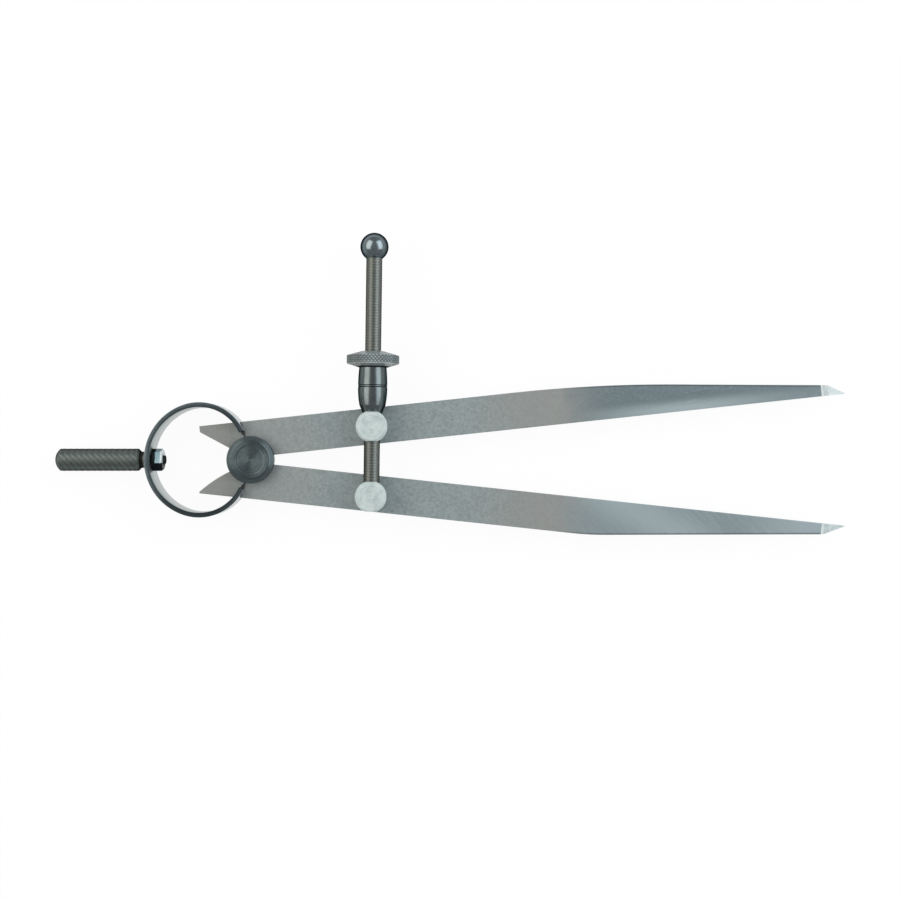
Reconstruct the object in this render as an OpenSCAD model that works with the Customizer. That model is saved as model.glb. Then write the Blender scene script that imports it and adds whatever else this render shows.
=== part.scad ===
// Spring divider lying on its back: two flat legs ride on a grooved roller, a bow spring presses
// them open, and a split nut on a cross screw sets the distance between the carbide points.
// Millimetres. X runs from the roller to the points, Z up. The origin is the roller's rear face.

/* [Legs] */
// Roller axis to scribing point
leg_reach = 150; // [120:1:200]
// Width of the flat leg
leg_width = 9.1; // [8:0.1:10.5]
// Thickness of the flat leg
leg_thick = 3; // [2:0.1:4]
// Roller axis to the inner edge of a leg
inner_offset = 0.65; // [0.3:0.05:1.2]
// Angle of each leg to the centre line as drawn
leg_angle = 6.1; // [5:0.1:12]
// Roller axis to the bend in the upper leg's outer edge
upper_bend = 87.5; // [60:0.5:105]
// Roller axis to the bend in the lower leg's outer edge
lower_bend = 86; // [60:0.5:105]
// Half the length over which the upper leg's bend is rounded
upper_bend_run = 20; // [2:0.5:22]
// Half the length over which the lower leg's bend is rounded
lower_bend_run = 4; // [2:0.5:22]
// Roller axis to the start of the ground taper in thickness
taper_start = 80; // [50:1:105]
// Roller axis to the end of the upper leg's tail
upper_tail = 12.1; // [9:0.1:13]
// Roller axis to the end of the lower leg's tail
lower_tail = 12.1; // [9:0.1:13]
// Blunt width of the upper tail
upper_tail_end = 1.5; // [0.3:0.1:2]
// Blunt width of the lower tail
lower_tail_end = 0.4; // [0.3:0.1:2]
// How far the lower tail's inner edge swells out of a straight line
lower_tail_swell = 0.9; // [0:0.1:1.2]
// Angle of the tail's inner edge to the leg
tail_cut = 34.4; // [30:0.2:40]

/* [Carbide points] */
// Length of the point beyond the steel, with the braze
point_length = 6; // [4:0.1:8]
// Width of the leg where the carbide begins
end_width = 2.8; // [2:0.1:4]
// Thickness of the leg where the carbide begins
end_thick = 1.6; // [1.4:0.1:2]
// Full width length beyond the steel before the point narrows
point_land = 1.8; // [1:0.1:3]
// Width and thickness left at the very point
point_blunt = 0.15; // [0.1:0.05:0.3]
// Length of the tongue brazed into the leg
tongue_length = 3; // [2:0.1:5]
// Thickness of the tongue
tongue_thick = 0.8; // [0.6:0.05:1]
// Thickness of the braze round the tongue
braze_gap = 0.06; // [0.03:0.01:0.1]
// Length of the braze between the leg's end and the carbide
braze_bead = 0.6; // [0.2:0.1:0.8]

/* [Roller] */
// Diameter of the roller's front flange
roller_d = 11.8; // [10:0.1:13]
// Diameter of the roller's rear flange
roller_rear_d = 9; // [8.4:0.1:12]
// Diameter of the waist that the legs ride on
waist_d = 6.4; // [5:0.1:7.5]
// Length of the roller
roller_length = 9; // [8:0.1:11]
// Width of the bevel round each flange
roller_bevel = 1.1; // [0.4:0.1:1.5]
// Depth of the bevel round each flange
roller_bevel_depth = 0.6; // [0.3:0.1:1]
// Radius of the groove turned in the front face
face_groove_r = 3.5; // [2.5:0.1:4.2]
// Width of the groove turned in the front face
face_groove_w = 0.35; // [0.2:0.05:0.6]
// Depth of the groove turned in the front face
face_groove_depth = 0.2; // [0.1:0.05:0.4]
// Running clearance of the leg on the waist
pivot_gap = 0.05; // [0.02:0.01:0.09]
// Side clearance of the leg between the flanges and under the studs
side_gap = 0.1; // [0.05:0.01:0.2]

/* [Bow spring] */
// Width of the spring band
spring_width = 9; // [7:0.1:11]
// Thickness of the spring band
spring_thick = 1.2; // [0.8:0.05:1.5]
// Outer radius of the spring's crown
crown_r = 14.5; // [13.5:0.1:16]
// Outer radius of the spring's two ends
end_r = 12.2; // [11.5:0.1:13]
// Roller axis to the outside of the crown
crown_back = 26.35; // [25.5:0.05:27.2]
// Angle on the crown where the tighter ends begin
blend_angle = 111; // [105:1:118]
// Depth of the notch in the leg's outer edge
notch_depth = 1.15; // [0.8:0.05:1.6]
// How far the prongs reach in from the leg's outer edge
prong_reach = 2.5; // [1.8:0.05:3]
// Clearance of the spring in its notch
notch_gap = 0.1; // [0.05:0.01:0.2]
// Width of the cutter's run-out line beyond each prong
runout_width = 0.5; // [0.3:0.05:0.8]
// Depth of the cutter's run-out line
runout_depth = 0.35; // [0.2:0.05:0.6]
// How far the run-out line goes under the roller's flange
runout_cover = 0.8; // [0.4:0.1:1.5]

/* [Handle] */
// Diameter of the grip
handle_d = 5.6; // [5:0.1:8]
// Length of the grip
handle_length = 21.5; // [15:0.1:35]
// How much the radius of the grip's domed end exceeds the grip's own radius
dome_extra = 0.8; // [0:0.1:3]
// Bevel at the grip's shoulder
shoulder_bevel = 0.6; // [0.3:0.1:1]
// Diameter of the neck
neck_d = 4.1; // [3.2:0.1:5]
// Length of the neck
neck_length = 1.55; // [1:0.05:4]
// Diameter of the handle's threaded stem
stem_d = 2.5; // [2:0.1:3]
// Length of the stem beyond its nut
stem_proud = 0.5; // [0.4:0.1:2]
// Clearance of the stem in the spring's hole
stem_gap = 0.1; // [0.05:0.01:0.2]
// Outer diameter of the lock washer
lock_washer_d = 5.6; // [4.6:0.1:6.5]
// Thickness of the lock washer
lock_washer_thick = 0.8; // [0.5:0.1:1.2]
// Width of the split in the lock washer
lock_washer_split = 0.5; // [0.3:0.1:0.8]
// Width of the handle nut across its flats
handle_nut_flats = 5; // [4.4:0.1:6]
// Thickness of the handle nut
handle_nut_thick = 1.8; // [1.5:0.1:3]
// Turn of the handle nut about the stem
handle_nut_turn = 16.5; // [0:0.5:60]
// Clearance between a thread and its mating hole
thread_gap = 0.02; // [0.01:0.01:0.05]

/* [Swivel studs] */
// Roller axis to the stud, along the leg
stud_along = 31.1; // [27:0.1:40]
// Roller axis to the stud, across the leg
stud_across = 5.4; // [4.6:0.1:6]
// Diameter of the stud's head
stud_head_d = 7.8; // [7:0.1:9]
// Distance between the flats on the head
stud_flats = 7.3; // [6.6:0.1:8]
// Height of the head
stud_head_h = 7; // [6.5:0.1:8]
// Bevel round the top of the head
stud_bevel = 0.5; // [0.2:0.1:0.8]
// Diameter of the shank in the leg
stud_shank_d = 4; // [3:0.1:4.5]
// Diameter of the tenon in the rear washer
tenon_d = 2.8; // [2:0.1:3]
// Diameter of the rear washer
stud_washer_d = 7; // [5:0.1:8]
// Thickness of the rear washer
stud_washer_thick = 0.8; // [0.5:0.05:1]
// Diameter of the peened end
peen_d = 4.4; // [3.6:0.1:5]
// Height of the peened end
peen_h = 0.6; // [0.4:0.1:0.9]
// Clearance of the screw through the upper stud
stud_hole_gap = 0.25; // [0.1:0.05:0.4]

/* [Screw] */
// Diameter of the screw's thread
screw_d = 4; // [3:0.1:4.4]
// Lower stud to the centre of the ball
screw_reach = 61.9; // [50:0.1:75]
// Lean of the screw towards the points, from the studs' places in their legs
screw_lean = 0.75; // [0:0.05:1]
// Diameter of the ball
ball_d = 7; // [6:0.1:9]
// Width of the ball's flat seat beyond the screw
ball_seat_rim = 0.05; // [0.05:0.05:0.4]
// Step from the screw down to its spigot in the ball
spigot_step = 0.5; // [0.2:0.05:0.8]
// Length of the spigot in the ball
spigot_length = 3.6; // [2:0.1:4.5]

/* [Split nut] */
// Depth of the nose in its seat on the stud
nose_depth = 0.5; // [0.3:0.05:0.7]
// Wall of the nose at its end
nose_wall = 0.25; // [0.2:0.05:0.5]
// Taper of the nose
nose_taper = 24; // [15:1:30]
// Clearance between nose and seat
seat_gap = 0.1; // [0.05:0.01:0.2]
// Length of the tapered nose
nose_length = 2.1; // [1.5:0.1:2.8]
// Length of the barrel from the nose to the flange
barrel_length = 9.35; // [6:0.05:12]
// Largest radius of the barrel
barrel_r = 3.64; // [3.4:0.02:4]
// Radius of the barrel under the flange
barrel_top_r = 3.4; // [3:0.02:3.6]
// Nose to the middle of the barrel's swell
swell_at = 6.3; // [4:0.1:8]
// Nose to the ring groove
ring_at = 6.85; // [5:0.05:8]
// Wire diameter of the ring
ring_wire = 0.5; // [0.3:0.05:0.6]
// Clearance of the ring in its groove
ring_gap = 0.03; // [0.01:0.01:0.06]
// Radius of the knurled flange
flange_r = 6.55; // [5.5:0.05:8]
// Thickness of the flange's rim
flange_rim = 2.05; // [1.2:0.05:3]
// Height of the cone under the flange
flange_under = 0.95; // [0.6:0.05:2]
// Height of the cone over the flange
flange_over = 1.05; // [0.6:0.05:2]
// Width of the flange's top face round the bore
flange_top = 0.45; // [0.3:0.05:1.5]
// Radial relief of the bore at the flange end
bore_relief = 0.4; // [0.2:0.05:0.6]
// Depth of the relief of the bore
bore_relief_depth = 3; // [1:0.1:5]
// Running clearance of the nut on the screw
nut_gap = 0.05; // [0.02:0.01:0.09]
// Width of the cut between the two halves
nut_split = 0.4; // [0.2:0.05:0.6]
// Angle that the ring leaves open
ring_open = 30; // [10:1:60]

/* [Hidden] */
$fn = 96;
// Overshoot of a cutting tool past the face that it cuts
past = 1;

// Levels along Z
leg_mid = roller_length / 2;
leg_rear = leg_mid - leg_thick / 2;
leg_front = leg_mid + leg_thick / 2;
head_base = leg_front + side_gap;
screw_z = head_base + stud_head_h / 2;

// Sizes across and along a leg, from the roller axis
outer_edge = inner_offset + leg_width;
tip_along = sqrt(leg_reach * leg_reach - inner_offset * inner_offset);
steel_end = tip_along - point_length;
tongue_slot = tongue_thick + 2 * braze_gap;

// Bow spring: centres of its crown and of its upper end, and the radius of its middle line
crown_x = crown_r - crown_back;
crown_inner = crown_r - spring_thick;
end_x = crown_x + (crown_r - end_r) * cos(blend_angle);
end_y = (crown_r - end_r) * sin(blend_angle);
end_mid_r = end_r - spring_thick / 2;
// Angle round the spring's upper end at which its middle line is at a distance across the leg
function end_angle(across) =
    leg_angle + asin((across + end_x * sin(leg_angle) - end_y * cos(leg_angle)) / end_mid_r);
root_angle = end_angle(outer_edge - notch_depth);
prong_angle = end_angle(outer_edge - prong_reach);
notch_angle = end_angle(outer_edge + spring_thick + past);
// How far the fork's cutter runs past the prongs' ends, in degrees
fork_overrun = 5;

// Handle: places along X
shoulder_x = -crown_back - neck_length;
grip_end_x = shoulder_x - handle_length;
// The flat washer bears on the inside of the round crown at its rim
washer_depth = sqrt(crown_inner * crown_inner - lock_washer_d * lock_washer_d / 4);
washer_x = crown_x - washer_depth + thread_gap;
handle_nut_x = washer_x + lock_washer_thick;
stem_end_x = handle_nut_x + handle_nut_thick + stem_proud;

// Studs and screw
stud_r = sqrt(stud_along * stud_along + stud_across * stud_across);
stud_angle = leg_angle + atan2(stud_across, stud_along);
stud_x = stud_r * cos(stud_angle);
stud_y = stud_r * sin(stud_angle);
screw_r = screw_d / 2;
spigot_r = screw_r - spigot_step;
ball_y = screw_reach - stud_y;
ball_seat = sqrt(ball_d * ball_d / 4 - pow(screw_r + ball_seat_rim, 2));

// Nut: heights along the screw from the end of the nose
nose_y = stud_y + stud_flats / 2 - nose_depth;
barrel_top = nose_length + barrel_length;
rim_low = barrel_top + flange_under;
rim_high = rim_low + flange_rim;
nut_height = rim_high + flange_over;
bore_r = screw_r + nut_gap;
nose_r = bore_r + nose_wall;
nose_top_r = nose_r + nose_length * tan(nose_taper);
swell = (barrel_r - nose_top_r) / pow(swell_at - nose_length, 2);
top_swell = (barrel_r - barrel_top_r) / pow(barrel_top - swell_at, 2);
function barrel_at(h) = barrel_r - (h < swell_at ? swell : top_swell) * pow(h - swell_at, 2);
ring_mid_r = barrel_at(ring_at) - ring_wire / 2;
// Steps in curves that are drawn by points
barrel_steps = 12;
tail_steps = 14;
bend_steps = 12;
arc_steps = 24;

STEEL = [0.57, 0.58, 0.58];
BLUED = [0.25, 0.28, 0.30];
ZINC = [0.74, 0.79, 0.80];
CARBIDE = [0.82, 0.84, 0.84];
SILVER = [0.90, 0.92, 0.92];

// Turn a shape drawn along Z so that it lies along X, or stands along the screw
module along_x() { translate([0, 0, leg_mid]) rotate([0, 90, 0]) children(); }
module at_stud(y) { rotate([0, 0, -screw_lean]) translate([stud_x, y, 0]) children(); }
module along_screw(y) { at_stud(y) translate([0, 0, screw_z]) rotate([-90, 0, 0]) children(); }
module in_leg() { rotate([0, 0, leg_angle]) children(); }
module mirrored() { mirror([0, 1, 0]) children(); }
module tube(h, r_out, r_in) {
    difference() {
        cylinder(h = h, r = r_out);
        translate([0, 0, -past]) cylinder(h = h + 2 * past, r = r_in);
    }
}

// Part of a band round the Z axis between two angles
module band(r_in, r_out, z, h, from, to) {
    rotate([0, 0, from])
        rotate_extrude(angle = to - from) translate([r_in, z]) square([r_out - r_in, h]);
}

// Side view of a leg or a point, given as [along, half thickness], drawn through the whole width
module side_profile(stations) {
    top = [for (s = stations) [s[0], leg_mid + s[1]]];
    under = [for (i = [len(stations) - 1 : -1 : 0]) [stations[i][0], leg_mid - stations[i][1]]];
    translate([0, outer_edge + past, 0]) rotate([90, 0, 0])
        linear_extrude(outer_edge + 2 * past) polygon(concat(top, under));
}

// Outline of a leg, from the end of its tail to the square end that carries the point
module leg_outline(bend, bend_run, tail, tail_end, tail_swell) {
    tail_high = outer_edge - tail_end;
    tail_run = (tail_high - inner_offset) / tan(tail_cut);
    tail_edge = [
        for (i = [0 : tail_steps])
            let (t = i / tail_steps, bulge = 4 * tail_swell * t * (1 - t))
                [-tail + t * tail_run - bulge * sin(tail_cut),
                 tail_high - t * (tail_high - inner_offset) - bulge * cos(tail_cut)]
    ];
    soft_bend = [
        for (i = [0 : bend_steps])
            let (t = i / bend_steps)
                [bend + bend_run * (1 - 2 * t), outer_edge - bend_run * edge_fall(bend) * pow(1 - t, 2)]
    ];
    difference() {
        polygon(concat(
            tail_edge,
            [[steel_end, inner_offset], [steel_end, inner_offset + end_width]],
            soft_bend,
            [[-tail, outer_edge]]
        ));
        circle(r = waist_d / 2 + pivot_gap);
    }
}

// Notch for the spring's end, and the line that the cutter leaves beyond it on both faces
module spring_notch() {
    r_in = end_r - spring_thick - notch_gap;
    root_back = notch_gap / end_mid_r * 180 / PI;
    prong_x = end_x + end_mid_r * cos(prong_angle);
    prong_y = end_y + end_mid_r * sin(prong_angle);
    run = sqrt(prong_x * prong_x + prong_y * prong_y) - roller_d / 2 + runout_cover;
    translate([end_x, end_y, 0])
        band(r_in, end_r + notch_gap, 0, roller_length, root_angle - root_back, notch_angle);
    for (face = [leg_front - runout_depth, leg_rear + runout_depth - past])
        translate([prong_x, prong_y, face]) rotate([0, 0, prong_angle - 90])
            translate([0, -runout_width / 2, 0]) cube([run, runout_width, past]);
}

// stud_turn moves the stud's hole round the roller axis
module leg(bend, bend_run, tail, tail_end, tail_swell, stud_turn) {
    difference() {
        in_leg() difference() {
            intersection() {
                translate([0, 0, leg_rear])
                    linear_extrude(leg_thick)
                        leg_outline(bend, bend_run, tail, tail_end, tail_swell);
                side_profile([
                    [-tail - past, leg_thick / 2],
                    [taper_start, leg_thick / 2],
                    [steel_end, end_thick / 2],
                    [steel_end + past, end_thick / 2],
                ]);
            }
            rotate([0, 0, stud_turn]) translate([stud_along, stud_across, leg_rear - past])
                cylinder(h = leg_thick + 2 * past, d = stud_shank_d + 2 * pivot_gap);
            translate([steel_end - tongue_length - braze_gap, -past, leg_mid - tongue_slot / 2])
                cube([leg_reach, outer_edge + 2 * past, tongue_slot]);
        }
        spring_notch();
    }
}

module upper_leg() {
    color(STEEL)
        leg(upper_bend, upper_bend_run, upper_tail, upper_tail_end, 0, -screw_lean);
}
module lower_leg() {
    color(STEEL) mirrored()
        leg(lower_bend, lower_bend_run, lower_tail, lower_tail_end, lower_tail_swell, screw_lean);
}

// How fast the outer edge beyond the bend closes on the inner edge
function edge_fall(bend) = (outer_edge - inner_offset - end_width) / (steel_end - bend);

// Carbide insert: a tongue in the leg's end, a short land and a three-sided point at the inner edge
module carbide_point(bend) {
    tongue_start = steel_end - tongue_length;
    carbide_start = steel_end + braze_bead;
    in_leg() intersection() {
        translate([0, 0, leg_rear]) linear_extrude(leg_thick) polygon([
            [tongue_start, inner_offset],
            [tip_along, inner_offset],
            [tip_along, inner_offset + point_blunt],
            [steel_end + point_land, inner_offset + end_width - point_land * edge_fall(bend)],
            [tongue_start, inner_offset + end_width + tongue_length * edge_fall(bend)],
        ]);
        union() {
            side_profile([
                [tongue_start - past, tongue_thick / 2],
                [steel_end + point_land, tongue_thick / 2],
            ]);
            side_profile([
                [carbide_start, end_thick / 2],
                [steel_end + point_land, end_thick / 2],
                [tip_along, point_blunt / 2],
                [tip_along + past, point_blunt / 2],
            ]);
        }
    }
}

module upper_point() { color(CARBIDE) carbide_point(upper_bend); }
module lower_point() { color(CARBIDE) mirrored() carbide_point(lower_bend); }

// Silver braze: a thin skin round the tongue, and a bright bead between the leg's end and the carbide
module braze(bend) {
    tongue_start = steel_end - tongue_length;
    braze_start = tongue_start - braze_gap;
    bead_end = steel_end + braze_bead;
    bead_top = inner_offset + end_width - braze_bead * edge_fall(bend);
    skin_top = inner_offset + end_width + (tongue_length + braze_gap) * edge_fall(bend);
    in_leg() difference() {
        intersection() {
            translate([0, 0, leg_rear]) linear_extrude(leg_thick) polygon([
                [braze_start, inner_offset],
                [bead_end, inner_offset],
                [bead_end, bead_top],
                [braze_start, skin_top],
            ]);
            side_profile([
                [braze_start - past, tongue_slot / 2],
                [steel_end, tongue_slot / 2],
                [steel_end, end_thick / 2],
                [bead_end + past, end_thick / 2],
            ]);
        }
        side_profile([[tongue_start, tongue_thick / 2], [bead_end + past, tongue_thick / 2]]);
    }
}

module upper_braze() { color(SILVER) braze(upper_bend); }
module lower_braze() { color(SILVER) mirrored() braze(lower_bend); }

// One piece spool that both legs bear on, with a turned front face
module fulcrum_roller() {
    r = roller_d / 2;
    rear_r = roller_rear_d / 2;
    waist_low = leg_rear - side_gap;
    waist_high = leg_front + side_gap;
    groove_in = face_groove_r - face_groove_w / 2;
    color(BLUED) difference() {
        rotate_extrude() polygon([
            [0, 0],
            [rear_r - roller_bevel, 0],
            [rear_r, roller_bevel_depth],
            [rear_r, waist_low],
            [waist_d / 2, waist_low],
            [waist_d / 2, waist_high],
            [r, waist_high],
            [r, roller_length - roller_bevel_depth],
            [r - roller_bevel, roller_length],
            [0, roller_length],
        ]);
        translate([0, 0, roller_length - face_groove_depth])
            tube(face_groove_depth + past, groove_in + face_groove_w, groove_in);
    }
}

// Points along an arc, from one angle to another
function arc(centre, r, from, to) = [
    for (i = [0 : arc_steps])
        let (a = from + (to - from) * i / arc_steps) centre + r * [cos(a), sin(a)]
];
function reversed(points) = [for (i = [len(points) - 1 : -1 : 0]) points[i]];
function below(points) = [for (p = points) [p[0], -p[1]]];
// One face of the band, from the upper prong round the crown to the lower prong
function band_face(inset) =
    let (
        upper = arc([end_x, end_y], end_r - inset, prong_angle, blend_angle),
        crown = arc([crown_x, 0], crown_r - inset, blend_angle, 360 - blend_angle)
    ) concat(upper, crown, reversed(below(upper)));

// Slot that leaves a prong on each side of the leg
module fork_slot() {
    fork_gap = leg_thick + 2 * side_gap;
    translate([end_x, end_y, 0])
        band(end_r - spring_thick - past, end_r + past, leg_mid - fork_gap / 2, fork_gap,
             prong_angle - fork_overrun, root_angle);
}

module bow_spring() {
    color(BLUED) difference() {
        translate([0, 0, leg_mid - spring_width / 2]) linear_extrude(spring_width)
            polygon(concat(band_face(0), reversed(band_face(spring_thick))));
        fork_slot();
        mirrored() fork_slot();
        translate([-crown_back - past, 0, 0])
            along_x() cylinder(h = crown_r, d = stem_d + 2 * stem_gap);
    }
}

// Grip, neck and threaded stem turned from one bar
module handle() {
    grip_r = handle_d / 2;
    dome_r = grip_r + dome_extra;
    dome_turn = asin(grip_r / dome_r);
    dome = [
        for (i = [0 : arc_steps])
            let (a = dome_turn * i / arc_steps) [dome_r * sin(a), dome_r * (1 - cos(a))]
    ];
    neck_start = handle_length;
    neck_end = handle_length + neck_length - thread_gap;
    color(BLUED) translate([grip_end_x, 0, 0]) along_x() rotate_extrude() polygon(concat(dome, [
        [grip_r, neck_start - shoulder_bevel],
        [grip_r - shoulder_bevel, neck_start],
        [neck_d / 2, neck_start],
        [neck_d / 2, neck_end],
        [stem_d / 2, neck_end],
        [stem_d / 2, stem_end_x - grip_end_x],
        [0, stem_end_x - grip_end_x],
    ]));
}

module handle_lock_washer() {
    color(BLUED) translate([washer_x, 0, 0]) along_x() difference() {
        tube(lock_washer_thick, lock_washer_d / 2, stem_d / 2 + stem_gap);
        translate([-lock_washer_split / 2, 0, -past])
            cube([lock_washer_split, lock_washer_d, lock_washer_thick + 2 * past]);
    }
}

module handle_nut() {
    corner_d = handle_nut_flats / cos(30);
    color(ZINC) translate([handle_nut_x, 0, 0]) along_x() difference() {
        intersection() {
            rotate([0, 0, handle_nut_turn]) cylinder(h = handle_nut_thick, d = corner_d, $fn = 6);
            cylinder(h = handle_nut_thick, r1 = corner_d / 2 + handle_nut_thick, d2 = handle_nut_flats);
        }
        translate([0, 0, -past])
            cylinder(h = handle_nut_thick + 2 * past, d = stem_d + 2 * thread_gap);
    }
}

// Swivel stud: flatted head, shank in the leg, tenon through the washer and peened end
module stud(y) {
    head_r = stud_head_d / 2;
    shank_end = leg_rear - side_gap;
    peen_top = shank_end - stud_washer_thick;
    at_stud(y) {
        intersection() {
            union() {
                translate([0, 0, head_base]) cylinder(h = stud_head_h - stud_bevel, r = head_r);
                translate([0, 0, head_base + stud_head_h - stud_bevel])
                    cylinder(h = stud_bevel, r1 = head_r, r2 = head_r - stud_bevel);
            }
            translate([-head_r, -stud_flats / 2, head_base])
                cube([stud_head_d, stud_flats, stud_head_h]);
        }
        translate([0, 0, shank_end]) cylinder(h = head_base - shank_end, d = stud_shank_d);
        translate([0, 0, peen_top]) cylinder(h = stud_washer_thick, d = tenon_d);
        translate([0, 0, peen_top - peen_h]) cylinder(h = peen_h, d1 = tenon_d, d2 = peen_d);
    }
}

module stud_washer(y) {
    at_stud(y) translate([0, 0, leg_rear - side_gap - stud_washer_thick])
        tube(stud_washer_thick, stud_washer_d / 2, tenon_d / 2 + thread_gap);
}

// Upper stud: the screw slides through it, and a cone in its outer flat seats the nut's nose
module upper_stud() {
    seat_r = nose_r + seat_gap;
    seat_h = nose_depth + seat_gap + past;
    color(ZINC) difference() {
        stud(stud_y);
        along_screw(stud_y - stud_head_d) cylinder(h = 2 * stud_head_d, r = screw_r + stud_hole_gap);
        along_screw(nose_y - seat_gap)
            cylinder(h = seat_h, r1 = seat_r, r2 = seat_r + seat_h * tan(nose_taper));
    }
}

// Lower stud: the screw's end is threaded into it
module lower_stud() {
    color(ZINC) difference() {
        stud(-stud_y);
        along_screw(-stud_y - stud_head_d) cylinder(h = 2 * stud_head_d, r = screw_r + thread_gap);
    }
}

module upper_stud_washer() { color(STEEL) stud_washer(stud_y); }
module lower_stud_washer() { color(STEEL) stud_washer(-stud_y); }

module adjusting_screw() {
    start = -stud_y - stud_flats / 2;
    color(BLUED) union() {
        along_screw(start) cylinder(h = ball_y - ball_seat - start, r = screw_r);
        along_screw(ball_y - ball_seat) cylinder(h = spigot_length, r = spigot_r);
    }
}

module screw_ball() {
    color(BLUED) along_screw(ball_y) difference() {
        sphere(d = ball_d);
        translate([0, 0, -ball_seat - ball_d]) cylinder(h = ball_d, d = ball_d);
        translate([0, 0, -ball_d])
            cylinder(h = ball_d - ball_seat + spigot_length + thread_gap, r = spigot_r + thread_gap);
    }
}

// Whole nut as turned, before it is sawn into two halves
module nut_turned() {
    barrel = [
        for (i = [0 : barrel_steps])
            let (h = nose_length + i * barrel_length / barrel_steps) [barrel_at(h), h]
    ];
    relief_r = bore_r + bore_relief;
    groove = ring_wire + 2 * ring_gap;
    difference() {
        rotate_extrude() polygon(concat(
            [[bore_r, 0], [nose_r, 0]],
            barrel,
            [[flange_r, rim_low], [flange_r, rim_high], [relief_r + flange_top, nut_height]],
            [[relief_r, nut_height], [bore_r, nut_height - bore_relief_depth]]
        ));
        translate([0, 0, ring_at - groove / 2]) tube(groove, barrel_r + past, ring_mid_r - groove / 2);
    }
}

// Half of the nut on one side of the saw cut, which lies level through the screw
module nut_half(side) {
    reach = flange_r + past;
    along_screw(nose_y) difference() {
        nut_turned();
        translate([-reach, side > 0 ? -nut_split / 2 : nut_split / 2 - 2 * reach, -past])
            cube([2 * reach, 2 * reach, nut_height + 2 * past]);
    }
}

module nut_half_front() { color(BLUED) nut_half(1); }
module nut_half_rear() { color(BLUED) nut_half(-1); }

module nut_ring() {
    color(BLUED) along_screw(nose_y + ring_at) rotate([0, 0, 90 + ring_open / 2])
        rotate_extrude(angle = 360 - ring_open) translate([ring_mid_r, 0]) circle(d = ring_wire);
}

bow_spring();
handle();
handle_lock_washer();
handle_nut();
fulcrum_roller();
upper_leg();
lower_leg();
upper_point();
lower_point();
upper_braze();
lower_braze();
upper_stud();
lower_stud();
upper_stud_washer();
lower_stud_washer();
adjusting_screw();
screw_ball();
nut_half_front();
nut_half_rear();
nut_ring();
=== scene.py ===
# %% [markdown]
# # A spring divider, dressed for the camera
# The solid model gives every piece its true size and its joints. This script gives the pieces the finish
# of the real tool: blasted legs with ground ends, blued turned parts, a knurled grip and cut threads.
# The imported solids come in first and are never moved. New pieces are built over them in the same frame.

# %% Load the solids
import math

import bmesh
import bpy
import numpy as np
from mathutils import Matrix, Vector
from mathutils.geometry import tessellate_polygon


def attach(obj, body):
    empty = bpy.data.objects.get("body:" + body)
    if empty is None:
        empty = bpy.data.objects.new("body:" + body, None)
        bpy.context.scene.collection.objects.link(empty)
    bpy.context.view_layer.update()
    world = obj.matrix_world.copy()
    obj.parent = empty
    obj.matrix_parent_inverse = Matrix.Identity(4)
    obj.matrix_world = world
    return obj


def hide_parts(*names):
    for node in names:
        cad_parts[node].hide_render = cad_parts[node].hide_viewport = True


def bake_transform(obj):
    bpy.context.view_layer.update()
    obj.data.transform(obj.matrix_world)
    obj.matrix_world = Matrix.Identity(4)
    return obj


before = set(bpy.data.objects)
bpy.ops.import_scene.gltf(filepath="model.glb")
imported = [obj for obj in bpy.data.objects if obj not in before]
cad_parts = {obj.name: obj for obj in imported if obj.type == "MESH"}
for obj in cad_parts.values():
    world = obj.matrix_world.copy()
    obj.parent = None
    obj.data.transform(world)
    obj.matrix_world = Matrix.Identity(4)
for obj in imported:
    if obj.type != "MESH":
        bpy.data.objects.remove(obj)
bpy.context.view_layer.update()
MM = 0.001

# %% [markdown]
# ## Writing node graphs as expressions
# Materials and geometry trees are both graphs of nodes. A wire stands for one output socket, and the usual
# operators on it add Math nodes, so a formula reads as it would on paper. Every other node comes from one
# method that takes its type, then its settings, then its sockets.

# %% Wires
class Wire:
    """One output socket of a graph, which takes part in expressions."""

    def __init__(self, graph, socket):
        self.graph = graph
        self.socket = socket

    def math(self, operation, *others):
        return self.graph.math(operation, self, *others)

    def __add__(self, other):
        return self.math("ADD", other)

    def __sub__(self, other):
        return self.math("SUBTRACT", other)

    def __mul__(self, other):
        return self.math("MULTIPLY", other)

    def __truediv__(self, other):
        return self.math("DIVIDE", other)

    def __rsub__(self, other):
        return self.graph.math("SUBTRACT", other, self)

    def __rtruediv__(self, other):
        return self.graph.math("DIVIDE", other, self)

    def __abs__(self):
        return self.math("ABSOLUTE")

    __radd__ = __add__
    __rmul__ = __mul__


print("wires ready")

# %% Graphs
class Graph:
    """A node tree and the few ways of adding to it."""

    def __init__(self, tree):
        self.tree = tree

    def node(self, kind, settings=None, sockets=None, output=0):
        made = self.tree.nodes.new(kind)
        for name, value in (settings or {}).items():
            setattr(made, name, value)
        for key, value in (sockets or {}).items():
            if isinstance(value, Wire):
                self.tree.links.new(value.socket, made.inputs[key])
            else:
                made.inputs[key].default_value = value
        return Wire(self, made.outputs[output]) if made.outputs else None

    def math(self, operation, *values):
        return self.node("ShaderNodeMath", {"operation": operation}, dict(enumerate(values)))

    def ease(self, value, low, high):
        """0 below low, 1 above high and a smooth step between them."""
        sockets = {"Value": value, "From Min": low, "From Max": high}
        return self.node("ShaderNodeMapRange", {"interpolation_type": "SMOOTHSTEP"}, sockets)

    def zigzag(self, value):
        """A wave of straight flanks, 1 at whole numbers and 0 half-way between them."""
        return abs(value.math("FRACT") * 2 - 1)


print("graphs ready")

# %% [markdown]
# ## Finishes
# A finish is a material with its own coordinates in millimetres. They are Object coordinates, so the grain
# stays on a piece when it moves. A piece that bends keeps each point's place at rest in an attribute, which
# its finish reads instead. Each finish ends in one Principled shader. What varies over the surface goes to
# the colour, the roughness, the metallic share and a bump. All else is a plain number on the shader.

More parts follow.
